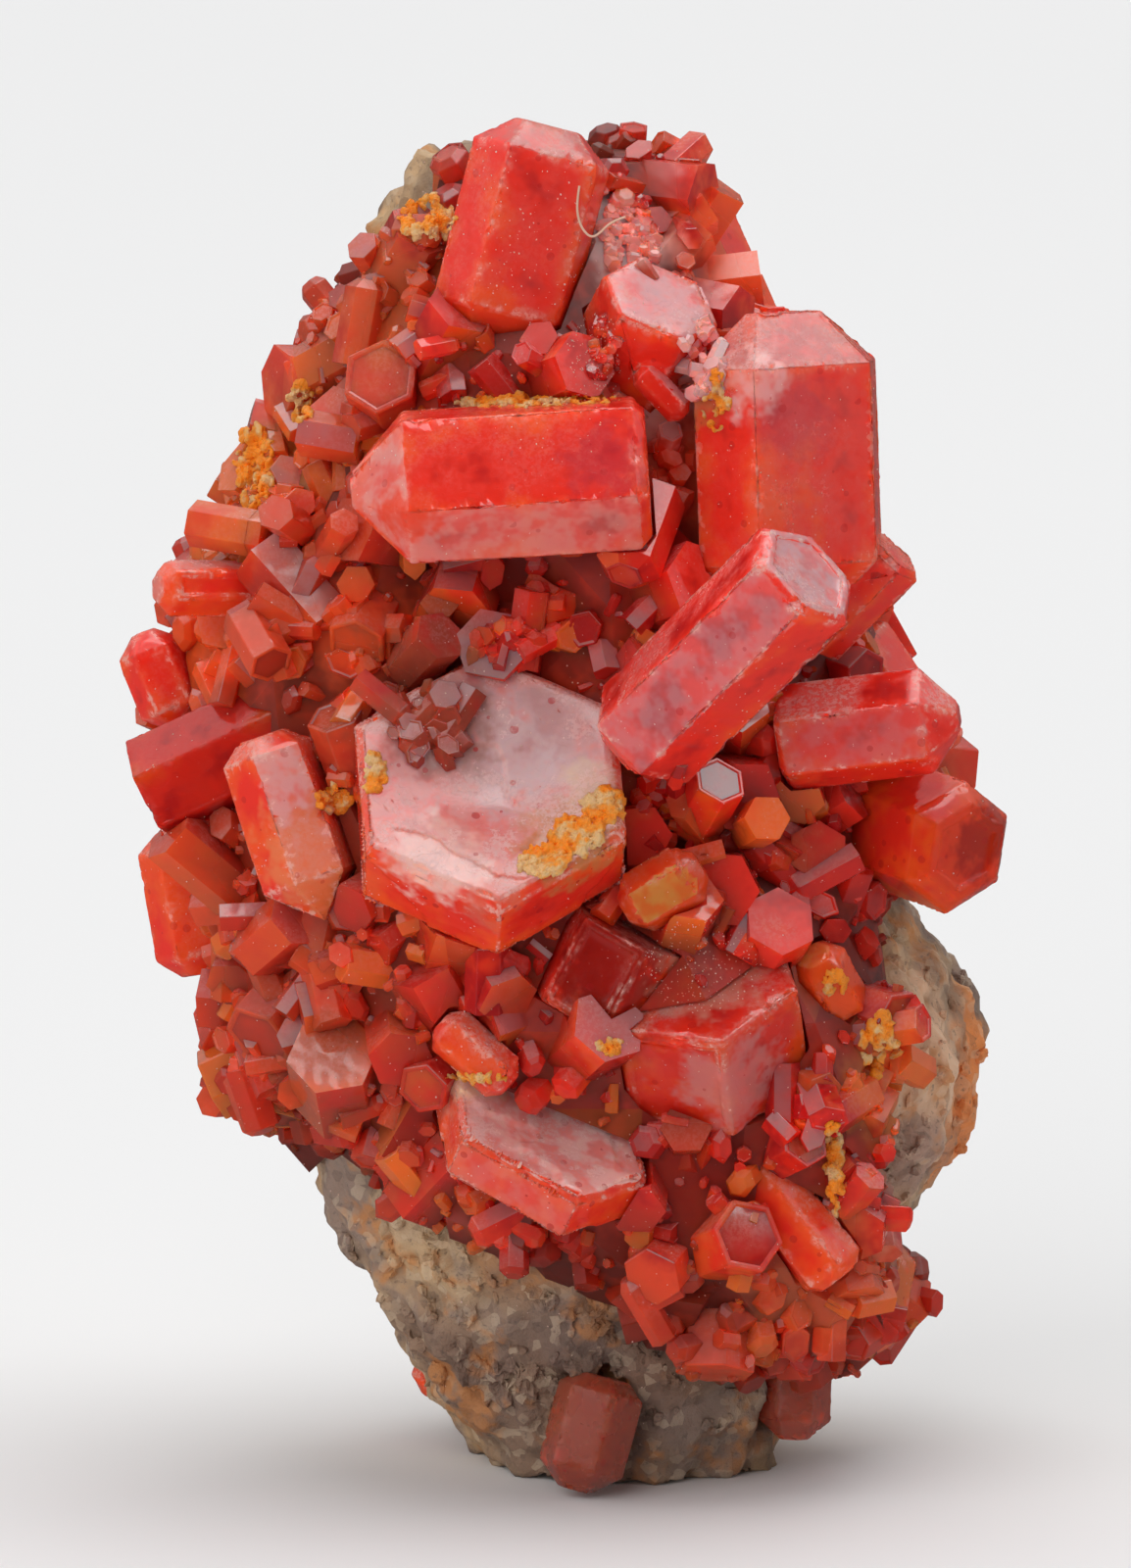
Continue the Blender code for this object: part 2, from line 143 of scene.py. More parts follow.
LOOKS = {
    "top_crystal": look(
        76, steps=(0.86,), bloom=0.3, tone=0.62,
        tints=(
            Tint("tip front", GREY_RED, 0.6), Tint("root front", ORANGE_RED, 0.8), Tint("front", DUST_AND_SHEEN_PINK, 0.06),
        ),
    ),
    "long_prism": look(
        3.7, bloom=0.15, tone=0.62, terrace=0.3,
        tints=(
            Tint("root front", PALE_ROSE, 0.75), Tint("root", PALE_ROSE, 0.5),
            Tint("front lower", PALE_ROSE, 0.6),
        ),
        stains=(
            Stain(-2.0, 11.9, 4.5, 0.5, ORANGE_RED, 0.8),
            Stain(0.5, 12.6, 4.3, 0.6, (0.44, 0.03, 0.05), 0.45),
        ),
    ),
    "right_block": look(
        92, 4, bloom=0.35, tone=0.6, rough=0.16,
        tints=(
            Tint("left", DUST_AND_SHEEN_PINK, 0.3), Tint("front", DUST_AND_SHEEN_PINK, 0.1), Tint("tip front", (0.42, 0.05, 0.045), 0.75),
        ),
        stains=(
            Stain(2.9, 13.2, 3.4, 0.6, (0.40, 0.07, 0.10), 0.35),
            Stain(1.8, 13.5, 3.0, 0.5, ORANGE_BROWN, 0.7),
            # A painted glint on the block's upper left.
            Stain(2.4, 13.6, 3.3, 0.5, (0.86, 0.50, 0.47), 0.6),
        ),
    ),
    "shoulder_crystal": look(
        62, 40, bloom=0.3, tone=0.6, tints=(Tint("tip", LILAC, 0.65), Tint("left", DARK_RED, 0.5)),
    ),
    "tilted_prism": look(
        45, 32, bloom=0.5, tone=0.78,
        tints=(Tint("tip", LILAC, 0.85), Tint("front", LILAC, 0.45), Tint("upper", DUST_AND_SHEEN_PINK, 0.2)),
        dish=Dish("tip", 0.1, 0.03),
    ),
    "right_wedge": look(
        7, 8, bloom=0.6, tone=0.75, tints=(Tint("upper", LILAC, 0.5), Tint("front", LILAC, 0.3)),
    ),
    "right_big_crystal": look(
        -20, 50, bloom=0.0, tone=0.45, rough=0.06, clear=0.2, tints=(Tint("tip", ORANGE_RED, 0.8),),
        dish=Dish("tip", 0.12, 0.05), stains=(Stain(5.2, 7.9, 2.5, 0.6, DARK_RED, 0.7),),
    ),
    "far_right_crystal": look(125, bloom=0.35, tone=0.5),
    "central_plate": look(
        88, 60, bloom=0.9, tone=0.5, terrace=1.4, tints=(Tint("tip", DUST_AND_SHEEN_PINK, 0.6),), dish=Dish("tip", 0, 0.3),
        stains=(
            Stain(-0.5, 9.1, 4.2, 1.1, (0.60, 0.46, 0.47), 0.75),
            Stain(-1.5, 9.3, 4.0, 0.8, (0.34, 0.12, 0.09), 0.7),
            Stain(0.0, 9.6, 4.1, 0.8, (0.44, 0.17, 0.16), 0.5),
            Stain(-0.9, 7.25, 5.3, 0.5, (0.66, 0.14, 0.09), 0.6),
            # A painted reflection of the light on the plate's lower left.
            Stain(-1.5, 7.7, 5.2, 0.7, (0.86, 0.52, 0.46), 0.8),
            Stain(0.1, 8.0, 5.0, 0.8, ORANGE_BROWN, 0.8),
            Stain(0.3, 8.6, 4.5, 0.4, CREAM, 0.5),
        ),
    ),
    "left_prism": look(
        109, steps=(0.42,), bloom=0.5, tone=0.5,
        tints=(Tint("front", (0.74, 0.42, 0.40), 0.75), Tint("root front", (0.74, 0.16, 0.05), 0.9)),
        stains=(Stain(-3.1, 7.6, 4.0, 0.9, (0.80, 0.19, 0.07), 0.8),),
    ),
    "left_bar": look(
        180, 25, bloom=0.4, tone=0.45, tints=(Tint("upper", DUST_AND_SHEEN_PINK, 0.7), Tint("tip", PALE_ROSE, 0.6)),
        dish=Dish("front", 0.08, 0.03),
    ),
    "left_corner_crystal": look(112, bloom=0.5, tone=0.6),
    "left_block": look(25, 10, bloom=0.05, tone=0.8, rough=0.06, clear=0.35),
    "golden_blade": look(
        31, 6, bloom=0.15, tone=0.3, clear=0.3,
        tints=(Tint("front", (0.78, 0.30, 0.06), 0.9), Tint("upper", (0.84, 0.45, 0.16), 0.6)),
    ),
    "cube_and_block": look(
        62, 15, bloom=0.4, tone=0.62, rough=0.06, clear=0.2,
        tints=(Tint("tip", (0.80, 0.26, 0.20), 0.75),), dish=Dish("front", 0.1, 0.05),
        stains=(
            Stain(0.56, 6.2, 4.5, 0.9, DARK_RED, 0.85), Stain(2.1, 4.9, 4.2, 0.8, DUST_AND_SHEEN_PINK, 0.45),
            Stain(1.8, 6.1, 3.8, 0.8, (0.76, 0.26, 0.18), 0.7),
        ),
    ),
    "lower_plate": look(
        64, 42, bloom=0.7, tone=0.55, terrace=1.0,
        tints=(Tint("tip", (0.88, 0.50, 0.46), 0.95), Tint("front", PALE_ROSE, 0.35)),
        dish=Dish("tip", 0, 0.14), stains=(Stain(-1.2, 4.8, 3.7, 0.45, CREAM, 0.7),),
    ),
    "bright_bar": look(-42, 5, bloom=0.5, tone=0.55, tints=(Tint("upper", DUST_AND_SHEEN_PINK, 0.5),)),
    "orange_crystal": look(120, 40, bloom=0.12, tone=0.0, tints=(Tint("tip", (0.94, 0.24, 0.05), 0.8),)),
    "lower_right_prism": look(-52, bloom=0.4, tone=0.45, tints=(Tint("upper", DUST_AND_SHEEN_PINK, 0.4),)),
    "front_foot_crystal": look(
        255, bloom=0.05, tone=0.4, rough=0.2, clear=0.25,
        stains=(Stain(0.4, 0.4, 2.8, 1.6, (0.34, 0.075, 0.04), 0.85),),
    ),
    "right_foot_crystal": look(
        268, bloom=0.05, tone=0.4, rough=0.2, clear=0.25,
        stains=(Stain(3, 1, 1.4, 1.2, (0.38, 0.09, 0.06), 0.8),),
    ),
    "right_lower_crystal": look(80, bloom=0.3, tone=0.3, stains=(Stain(4, 2.2, 1, 0.9, ORANGE_BROWN, 0.6),)),
    "left_foot_crystal": look(250, bloom=0.4, tone=0.5),
    "back_top_crystal": look(114, -8, steps=(0.7,), bloom=0.12, tone=0.45),
    "back_left_crystal": look(100, bloom=0.3, tone=0.5),
}

FINISHED = [node + "_finish" for node in LOOKS]

# Where the crust and the rock change colour. The spots that are painted light and shade say so above them.
DRUSE_STAINS = (
    Stain(-4.0, 12.2, 0.8, 1.5, (0.80, 0.19, 0.03), 0.5),
    Stain(-2.2, 14.6, 2.0, 1.0, (0.76, 0.13, 0.03), 0.5),
    Stain(4.0, 4.9, 2.6, 1.1, (0.84, 0.18, 0.03), 0.6),
    Stain(3.2, 2.4, 3.0, 1.1, (0.80, 0.11, 0.03), 0.6),
    Stain(2.2, 15.4, 0.0, 1.6, (0.86, 0.12, 0.03), 0.85),
    # A painted sheen on the small crystals here.
    Stain(0.85, 15.5, 1.8, 0.8, (0.86, 0.44, 0.40), 0.65),
    Stain(1.45, 12.7, 2.5, 1.0, (0.82, 0.08, 0.03), 0.75),
    Stain(-2.55, 10.5, 2.8, 0.8, (0.84, 0.075, 0.012), 0.7),
    Stain(-4.5, 10.4, 1.3, 1.1, (0.88, 0.10, 0.012), 0.7),
    Stain(4.2, 3.4, 1.7, 1.2, (0.66, 0.34, 0.22), 0.6),
    Stain(1.75, 6.25, 3.2, 0.8, (0.82, 0.27, 0.20), 0.7),
    Stain(1.75, 13.9, 3.2, 0.9, (0.88, 0.50, 0.48), 0.7),
    Stain(-3.6, 8.3, 3.0, 1.2, (0.24, 0.03, 0.02), 0.5),
    Stain(-1.6, 9.7, 3.9, 1.3, (0.25, 0.055, 0.03), 0.8),
    # The next two spots are a painted shade in deep gaps between the crystals.
    Stain(1.65, 7.2, 3.1, 0.9, (0.16, 0.010, 0.006), 0.75),
    Stain(2.1, 8.4, 3.1, 0.8, (0.20, 0.012, 0.010), 0.65),
    Stain(-3.1, 5.1, 3.0, 0.9, (0.34, 0.05, 0.02), 0.6),
    # A painted glint on the small crystals here.
    Stain(1.25, 13.5, 2.6, 0.9, (0.88, 0.42, 0.38), 0.6),
)
ROCK_STAINS = (
    Stain(4.9, 4.6, 1.3, 1.8, (0.80, 0.50, 0.32), 0.95),
    Stain(5.2, 4.6, -0.6, 1.4, (0.84, 0.26, 0.06), 0.9),
    Stain(4.5, 4.0, 1.6, 0.8, (0.26, 0.16, 0.15), 0.6),
    Stain(-1.8, 3.3, 2.2, 1.6, (0.62, 0.42, 0.24), 0.7),
    Stain(-0.4, 2.9, 2.3, 1.0, (0.46, 0.20, 0.08), 0.7),
    # A painted shade on the rock's underside.
    Stain(-1.9, 1.0, 1.7, 1.2, (0.26, 0.16, 0.12), 0.7),
    Stain(1.4, 1.6, 2.0, 1.1, (0.46, 0.20, 0.08), 0.6),
    # A painted shade on the rock's underside.
    Stain(0.2, 0.9, 1.8, 2.0, (0.20, 0.125, 0.10), 0.75),
    Stain(-3.6, 4.6, 1.0, 1.2, (0.40, 0.22, 0.12), 0.6),
    Stain(-2.0, 16.2, 0.0, 1.2, (0.72, 0.46, 0.24), 0.8),
)

# Loose bits strewn on what the viewer sees about a place: how wide and high the patch is, how many bits there
# are and how large.
Patch = namedtuple("Patch", "across up width height count size")
LIMONITE = (
    Patch(-0.6, 13.38, 1.5, 0.16, 150, 0.1),
    Patch(0.4, 13.4, 0.8, 0.12, 40, 0.08),
    Patch(-0.25, 7.62, 0.6, 0.4, 110, 0.12),
    Patch(0.15, 7.95, 0.6, 0.45, 120, 0.13),
    Patch(0.5, 8.3, 0.5, 0.5, 90, 0.12),
    Patch(-2.9, 8.4, 0.4, 0.35, 36, 0.15),
    Patch(-2.35, 8.75, 0.25, 0.5, 36, 0.14),
    Patch(-3.9, 12.6, 0.45, 1.1, 90, 0.15),
    Patch(-3.3, 13.4, 0.3, 0.5, 30, 0.13),
    Patch(-1.7, 15.7, 0.7, 0.6, 90, 0.13),
    Patch(3.4, 3.8, 0.2, 1.3, 70, 0.13),
    Patch(0.6, 5.3, 0.4, 0.2, 24, 0.09),
    Patch(1.9, 13.4, 0.35, 0.8, 30, 0.1),
    Patch(4.0, 5.3, 0.5, 0.8, 40, 0.16),
    Patch(-1.1, 4.9, 0.8, 0.12, 40, 0.07),
    Patch(3.4, 6.1, 0.3, 0.3, 24, 0.1),
)
ROCK_CRUMBS = (
    Patch(-0.9, 2.2, 4.2, 2.8, 170, 0.24),
    Patch(4.3, 5.0, 2.0, 5.0, 90, 0.22),
    Patch(0.8, 1.0, 3.5, 1.6, 60, 0.18),
)
GRAINS = (
    Patch(0, 8.8, 11, 17, 1300, 0.018),
    Patch(1.7, 6.3, 1.5, 1.2, 260, 0.018),
    Patch(-0.5, 15.7, 1.8, 2.4, 120, 0.02),
    Patch(0.4, 13.9, 0.7, 1.2, 160, 0.018),
)

# A place where no tiny crystals grow, so that the large crystal behind shows.
BARE = Patch(2.6, 15.6, 2.0, 2.2, 0, 0)

FACET = 0.02  # the smallest area, in square millimetres, of a facet of the crust that has a tone of its own

# Small crystals that have grown on the standing ones.
OVERGROWTH = (
    Patch(-1.7, 9.35, 0.9, 1.0, 34, 0.36),
    Patch(-0.6, 10.35, 1.1, 0.5, 26, 0.28),
    Patch(0.85, 15.55, 0.7, 1.2, 90, 0.16),
    Patch(0.5, 14.0, 0.4, 0.8, 30, 0.14),
    Patch(1.75, 13.9, 0.6, 1.0, 50, 0.19),
    Patch(1.3, 8.5, 0.8, 0.6, 16, 0.26),
)

# The lint fibre on the top crystal, as across and up.
FIBRE = (
    (0.2, 16.1), (0.16, 15.86), (0.18, 15.66), (0.28, 15.49),
    (0.38, 15.44), (0.5, 15.55), (0.61, 15.66), (0.78, 15.71),
)
FIBRE_THICKNESS = 0.03


class SpecimenColours(PropertyGroup):
    """Base colours of the specimen's minerals, and of the painted shade, glow and sheen laid over them."""

    deep_red: FloatVectorProperty(
        name="Deep red", description="Thick crystal", subtype="COLOR", default=(0.84, 0.028, 0.014)
    )
    # Also a painted glow along the standing crystals' rims, as if light shone through their thin edges.
    orange: FloatVectorProperty(
        name="Orange", description="Thin or iron-stained crystal",
        subtype="COLOR", default=(0.90, 0.08, 0.012),
    )
    dusky: FloatVectorProperty(
        name="Dusky red", description="Purple zones inside a crystal",
        subtype="COLOR", default=(0.48, 0.012, 0.013),
    )
    earthy: FloatVectorProperty(
        name="Earthy", description="Brownish small crystals", subtype="COLOR", default=(0.66, 0.095, 0.028)
    )
    amber: FloatVectorProperty(
        name="Amber", description="The lightest small crystals", subtype="COLOR", default=(0.82, 0.20, 0.03)
    )
    # Painted shade and painted glow: the crust is darkened deep between the crystals, and glows in places as if
    # lit from behind.
    recess_shade: FloatVectorProperty(
        name="Recess", description="Crust deep between the crystals",
        subtype="COLOR", default=(0.11, 0.008, 0.003),
    )
    glow: FloatVectorProperty(
        name="Glow", description="Recesses that light reaches from behind",
        subtype="COLOR", default=(0.36, 0.026, 0.006),
    )
    # Dust, and a painted sheen too: this pale colour lightens the faces that look up, where the light above
    # falls.
    bloom: FloatVectorProperty(
        name="Dust and sheen", description="Fine dust on faces that look up",
        subtype="COLOR", default=(0.70, 0.42, 0.40),
    )
    # Worn edges, and a painted glint of light along them.
    scuff: FloatVectorProperty(
        name="Scuff", description="Worn edges", subtype="COLOR", default=(0.88, 0.48, 0.40)
    )
    limonite: FloatVectorProperty(
        name="Limonite", description="Yellow-orange crumbs", subtype="COLOR", default=(0.74, 0.35, 0.07)
    )
    cream: FloatVectorProperty(
        name="Cream", description="Pale encrustation", subtype="COLOR", default=(0.74, 0.52, 0.28)
    )
    rock_tan: FloatVectorProperty(
        name="Rock tan", description="Sandy part of the rock", subtype="COLOR", default=(0.52, 0.33, 0.18)
    )
    # Dark grains, and a painted shade in the rock's hollows.
    rock_dark: FloatVectorProperty(
        name="Rock dark", description="Hollows of the rock", subtype="COLOR", default=(0.10, 0.065, 0.05)
    )
    rock_grey: FloatVectorProperty(
        name="Rock grey", description="Grey grains of the rock", subtype="COLOR", default=(0.32, 0.22, 0.17)
    )


class SpecimenSizes(PropertyGroup):
    """Sizes of the finest shapes."""

    mesh_edge: FloatProperty(
        name="Mesh edge", description="Longest mesh edge on the crystals", unit="LENGTH", default=0.16 * MM
    )
    rim_edge: FloatProperty(
        name="Rim edge", description="Longest mesh edge along their rims", unit="LENGTH", default=0.045 * MM
    )
    chamfer: FloatProperty(
        name="Chamfer", description="Width of the worn edges", unit="LENGTH", default=0.016 * MM
    )
    rock_voxel: FloatProperty(
        name="Rock fineness", description="Mesh size on the rock", unit="LENGTH", default=0.1 * MM
    )
    ledge: FloatProperty(
        name="Ledge", description="Height of a growth ledge", unit="LENGTH", default=0.034 * MM
    )
    chip: FloatProperty(
        name="Chip", description="Depth of the chips along worn edges", unit="LENGTH", default=0.04 * MM
    )
    druse: IntProperty(
        name="Druse crystals", description="Tiny crystals between the others", default=1700, min=0
    )


class StageSettings(PropertyGroup):
    """Light and camera."""

    world: FloatProperty(name="World", description="Strength of the light from all round", default=0.7)
    shade: FloatProperty(name="Front shade", description="How dark it is round the camera", default=0.95)
    softbox: FloatProperty(name="Softbox", description="Power of the light above", unit="POWER", default=2.9)
    fill: FloatProperty(
        name="Fill", description="Power of the light at the front left", unit="POWER", default=5.5
    )
    lens: FloatProperty(name="Lens", description="Focal length", unit="CAMERA", default=600)


def feed(tree, socket, value):
    """Links a socket to another one's output, or sets its plain value."""
    if isinstance(value, bpy.types.NodeSocket):
        tree.links.new(value, socket)
    else:
        socket.default_value = (*value, 1) if socket.type == "RGBA" and len(value) == 3 else value


def feed_all(tree, sockets, values):
    for key, value in values.items():
        feed(tree, sockets[key], value)


def add_node(tree, kind, inputs=None, **settings):
    node = tree.nodes.new(kind)
    for key, value in settings.items():
        setattr(node, key, value)
    feed_all(tree, node.inputs, inputs or {})
    return node


def mixed(tree, share, first, second):
    node = add_node(tree, "ShaderNodeMix", data_type="RGBA")
    feed_all(tree, node.inputs, {0: share, 6: first, 7: second})
    return node.outputs[2]


def reckoned(tree, operation, first, second=0.0, clamp=False):
    inputs = {0: first, 1: second}
    return add_node(tree, "ShaderNodeMath", inputs, operation=operation, use_clamp=clamp).outputs[0]


def times(tree, first, second, clamp=False):
    return reckoned(tree, "MULTIPLY", first, second, clamp)


def plus(tree, first, second, clamp=False):
    return reckoned(tree, "ADD", first, second, clamp)


def swung(tree, noise, reach):
    """A noise that swings about zero."""
    return times(tree, reckoned(tree, "SUBTRACT", noise, 0.5), reach)


def eased(tree, value, low, high, start=0.0, end=1.0):
    """A smooth step from start to end while value goes from low to high."""
    inputs = {"Value": value, "From Min": low, "From Max": high, "To Min": start, "To Max": end}
    return add_node(tree, "ShaderNodeMapRange", inputs, interpolation_type="SMOOTHSTEP").outputs["Result"]


def compared(tree, operation, first, second):
    """A number made of two vectors, such as the distance between them."""
    return add_node(tree, "ShaderNodeVectorMath", {0: first, 1: second}, operation=operation).outputs["Value"]


def axes(tree, vector):
    return add_node(tree, "ShaderNodeSeparateXYZ", {"Vector": vector}).outputs


def speckle(tree, vector, size, detail=2.0, roughness=0.5):
    """Noise whose blots are about size metres wide."""
    inputs = {"Vector": vector, "Scale": 1 / size, "Detail": detail, "Roughness": roughness}
    return add_node(tree, "ShaderNodeTexNoise", inputs).outputs["Fac"]


COLOUR_AND_MASK = {"Color": "Color", "Float": "Mask"}


def new_group(name, inputs, outputs):
    """An empty shader node group, as its tree, its input sockets and its output sockets. Both are given as
    the sockets' names under their kind."""
    tree = bpy.data.node_groups.new(name, "ShaderNodeTree")
    for way, sockets in (("INPUT", inputs), ("OUTPUT", outputs)):
        for kind, labels in sockets.items():
            for label in labels.split():
                tree.interface.new_socket(label, in_out=way, socket_type="NodeSocket" + kind)
    return tree, tree.nodes.new("NodeGroupInput").outputs, tree.nodes.new("NodeGroupOutput").inputs


def covered(tree, given, out, cover, mask):
    """Ends a group that lays another colour over a surface by a mask, which it may put out too."""
    feed(tree, out["Color"], mixed(tree, mask, given["Color"], given[cover]))
    if "Mask" in out:
        feed(tree, out["Mask"], mask)
    return tree


def inner_zones_group():
    """Cloudy zones of three colours inside a crystal. Tone shifts them from the first colour to the third."""
    inputs = {"Color": "Light Main Dusky", "Float": "Tone Cloud"}
    tree, given, out = new_group("inner_zones", inputs, {"Color": "Color"})
    level = plus(tree, swung(tree, given["Cloud"], 1.7), given["Tone"])
    colour = mixed(tree, eased(tree, level, 0.1, 0.55), given["Light"], given["Main"])
    feed(tree, out["Color"], mixed(tree, eased(tree, level, 0.6, 1.0), colour, given["Dusky"]))
    return tree


def growth_lines_group():
    """Fine steps across a crystal's long axis, which is the vector's X, with irregular flat terraces."""
    inputs = {"Vector": "Vector", "Float": "Cloud Terraces"}
    tree, given, out = new_group("growth_lines", inputs, {"Float": "Height"})
    squeezed = add_node(tree, "ShaderNodeMapping", {"Vector": given["Vector"], "Scale": (1, 0.12, 0.12)})
    lines = speckle(tree, squeezed.outputs[0], 0.2 * MM, 1, 0.6)
    level = times(tree, reckoned(tree, "FLOOR", times(tree, given["Cloud"], 14.0)), given["Terraces"])
    feed(tree, out["Height"], plus(tree, times(tree, lines, 0.8), level))
    return tree


def specks_group():
    """Round specks in a share of the cells of a pattern whose cells are Size wide."""
    tree, given, out = new_group("specks", {"Vector": "Vector", "Float": "Size Share"}, {"Float": "Mask"})
    scale = reckoned(tree, "DIVIDE", 1.0, given["Size"])
    cells = add_node(tree, "ShaderNodeTexVoronoi", {"Vector": given["Vector"], "Scale": scale})
    chance = add_node(tree, "ShaderNodeSeparateColor", {"Color": cells.outputs["Color"]}).outputs
    width = eased(tree, chance["Green"], 0.0, 1.0, 0.1, 0.36)
    inside = reckoned(tree, "LESS_THAN", cells.outputs["Distance"], width)
    chosen = reckoned(tree, "LESS_THAN", chance["Red"], given["Share"])
    feed(tree, out["Mask"], times(tree, inside, chosen))
    return tree


def dust_and_sheen_group():
    """Fine dust on faces that look up, in patches, with scattered specks. On the upward faces it is also a
    painted sheen of the light above.
    """
    inputs = {"Color": "Color Dust", "Float": "Amount Cloud Grain", "Vector": "Vector Normal"}
    tree, given, out = new_group("bloom", inputs, COLOUR_AND_MASK)
    facing_up = eased(tree, axes(tree, given["Normal"])["Z"], -0.2, 0.9)
    patches = eased(tree, given["Cloud"], 0.62, 0.4)
    veil = times(tree, times(tree, facing_up, patches), eased(tree, given["Grain"], 0.4, 0.62, 0.3, 1.0))
    specks = effect(tree, "specks", {"Vector": given["Vector"], "Size": 0.04 * MM, "Share": 0.06})["Mask"]
    specks = times(tree, specks, eased(tree, patches, 0.1, 0.9, 0.1, 0.9))
    mask = times(tree, plus(tree, veil, specks), given["Amount"], clamp=True)
    return covered(tree, given, out, "Dust", mask)


def worn_edge_glint_group():
    """Pale scuffing along some stretches of the worn edges: wear, with a painted glint of light along them."""
    inputs = {"Color": "Color Scuff", "Float": "Worn Cloud Grain"}
    tree, given, out = new_group("worn_edge", inputs, COLOUR_AND_MASK)
    stretch = eased(tree, given["Cloud"], 0.5, 0.62, 0.05, 0.7)
    grain = eased(tree, given["Grain"], 0.35, 0.6, 0.35, 1.0)
    mask = times(tree, times(tree, given["Worn"], stretch), grain, clamp=True)
    return covered(tree, given, out, "Scuff", mask)


def face_light_group():
    """Another colour on the faces that look one way, a little cloudy: mostly a painted sheen, shade and glow.
    """
    inputs = {"Color": "Color Tint", "Vector": "Way Normal", "Float": "Strength Cloud"}
    tree, given, out = new_group("face_tint", inputs, {"Color": "Color"})
    looks = compared(tree, "DOT_PRODUCT", given["Normal"], given["Way"])
    cloud = eased(tree, given["Cloud"], 0.36, 0.6, 0.45, 1.0)
    mask = times(tree, times(tree, eased(tree, looks, 0.8, 0.92), given["Strength"]), cloud)
    return covered(tree, given, out, "Tint", mask)


def stain_group():
    """A ragged spot of another colour about one point."""
    inputs = {"Color": "Color Stain", "Vector": "Centre Vector", "Float": "Reach Strength Ragged"}
    tree, given, out = new_group("stain", inputs, {"Color": "Color"})
    gap = compared(tree, "DISTANCE", given["Vector"], given["Centre"])
    far = plus(tree, reckoned(tree, "DIVIDE", gap, given["Reach"]), swung(tree, given["Ragged"], 1.8))
    mask = times(tree, eased(tree, far, 0.5, 1.1, 1.0, 0.0), given["Strength"])
    return covered(tree, given, out, "Stain", mask)


# The shared effects, each made the first time that a material asks for it.
GROUP_MAKERS = {
    "inner_zones": inner_zones_group,
    "growth_lines": growth_lines_group,
    "bloom": dust_and_sheen_group,
    "worn_edge": worn_edge_glint_group,
    "stain": stain_group,
    "specks": specks_group,
    "face_tint": face_light_group,
}


def effect(tree, name, inputs):
    node = tree.nodes.new("ShaderNodeGroup")
    node.node_tree = bpy.data.node_groups.get(name) or GROUP_MAKERS[name]()
    feed_all(tree, node.inputs, inputs)
    return node.outputs


def new_material(name):
    material = bpy.data.materials.new(name)
    material.use_nodes = True
    tree = material.node_tree
    coordinates = tree.nodes.new("ShaderNodeTexCoord")
    return material, tree, tree.nodes["Principled BSDF"], coordinates.outputs["Object"]


def attribute(tree, name):
    node = add_node(tree, "ShaderNodeAttribute", attribute_name=name, attribute_type="GEOMETRY")
    return node.outputs["Fac"]


def bumped(tree, height, distance):
    inputs = {"Height": height, "Distance": distance, "Strength": 1.0}
    return add_node(tree, "ShaderNodeBump", inputs).outputs["Normal"]


def inner_light(tree, shader, weight, tint, depth):
    """Lets light wander inside a piece, about as deep as given and by the colours' shares in tint."""
    shader.subsurface_method = "BURLEY"
    inputs = {"Subsurface Weight": weight, "Subsurface Radius": tint, "Subsurface Scale": depth}
    feed_all(tree, shader.inputs, inputs)


def glassy(tree, shader, veil):
    """Vanadinite: a resinous gloss, and light that wanders inside it except under the pale veil laid over it:
    dust with a painted sheen, and on worn edges pale marks with a painted glint.
    """
    shader.inputs["IOR"].default_value = REFRACTION
    inner_light(tree, shader, eased(tree, veil, 0.0, 0.6, 0.8, 0.0), (1.0, 0.16, 0.06), 0.55 * MM)


def zoned(tree, colours, tone, cloud):
    inputs = {"Light": colours.orange, "Main": colours.deep_red, "Dusky": colours.dusky}
    return effect(tree, "inner_zones", {**inputs, "Tone": tone, "Cloud": cloud})["Color"]


def face_lit(tree, colour, tint, way, strength, normal, cloud):
    inputs = {"Color": colour, "Tint": tint, "Way": way, "Strength": strength}
    return effect(tree, "face_tint", {**inputs, "Normal": normal, "Cloud": cloud})["Color"]


def dusted_and_sheened(tree, colour, dust, amount, spot, normal, cloud, grain):
    inputs = {"Color": colour, "Dust": dust, "Amount": amount, "Vector": spot}
    return effect(tree, "bloom", {**inputs, "Normal": normal, "Cloud": cloud, "Grain": grain})


def stained(tree, colour, stains, spot, ragged):
    for stain in stains:
        centre = place(stain.across, stain.up, stain.front)
        inputs = {"Color": colour, "Stain": stain.colour, "Centre": centre, "Reach": stain.reach * MM}
        inputs.update({"Strength": stain.strength, "Vector": spot, "Ragged": ragged})
        colour = effect(tree, "stain", inputs)["Color"]
    return colour


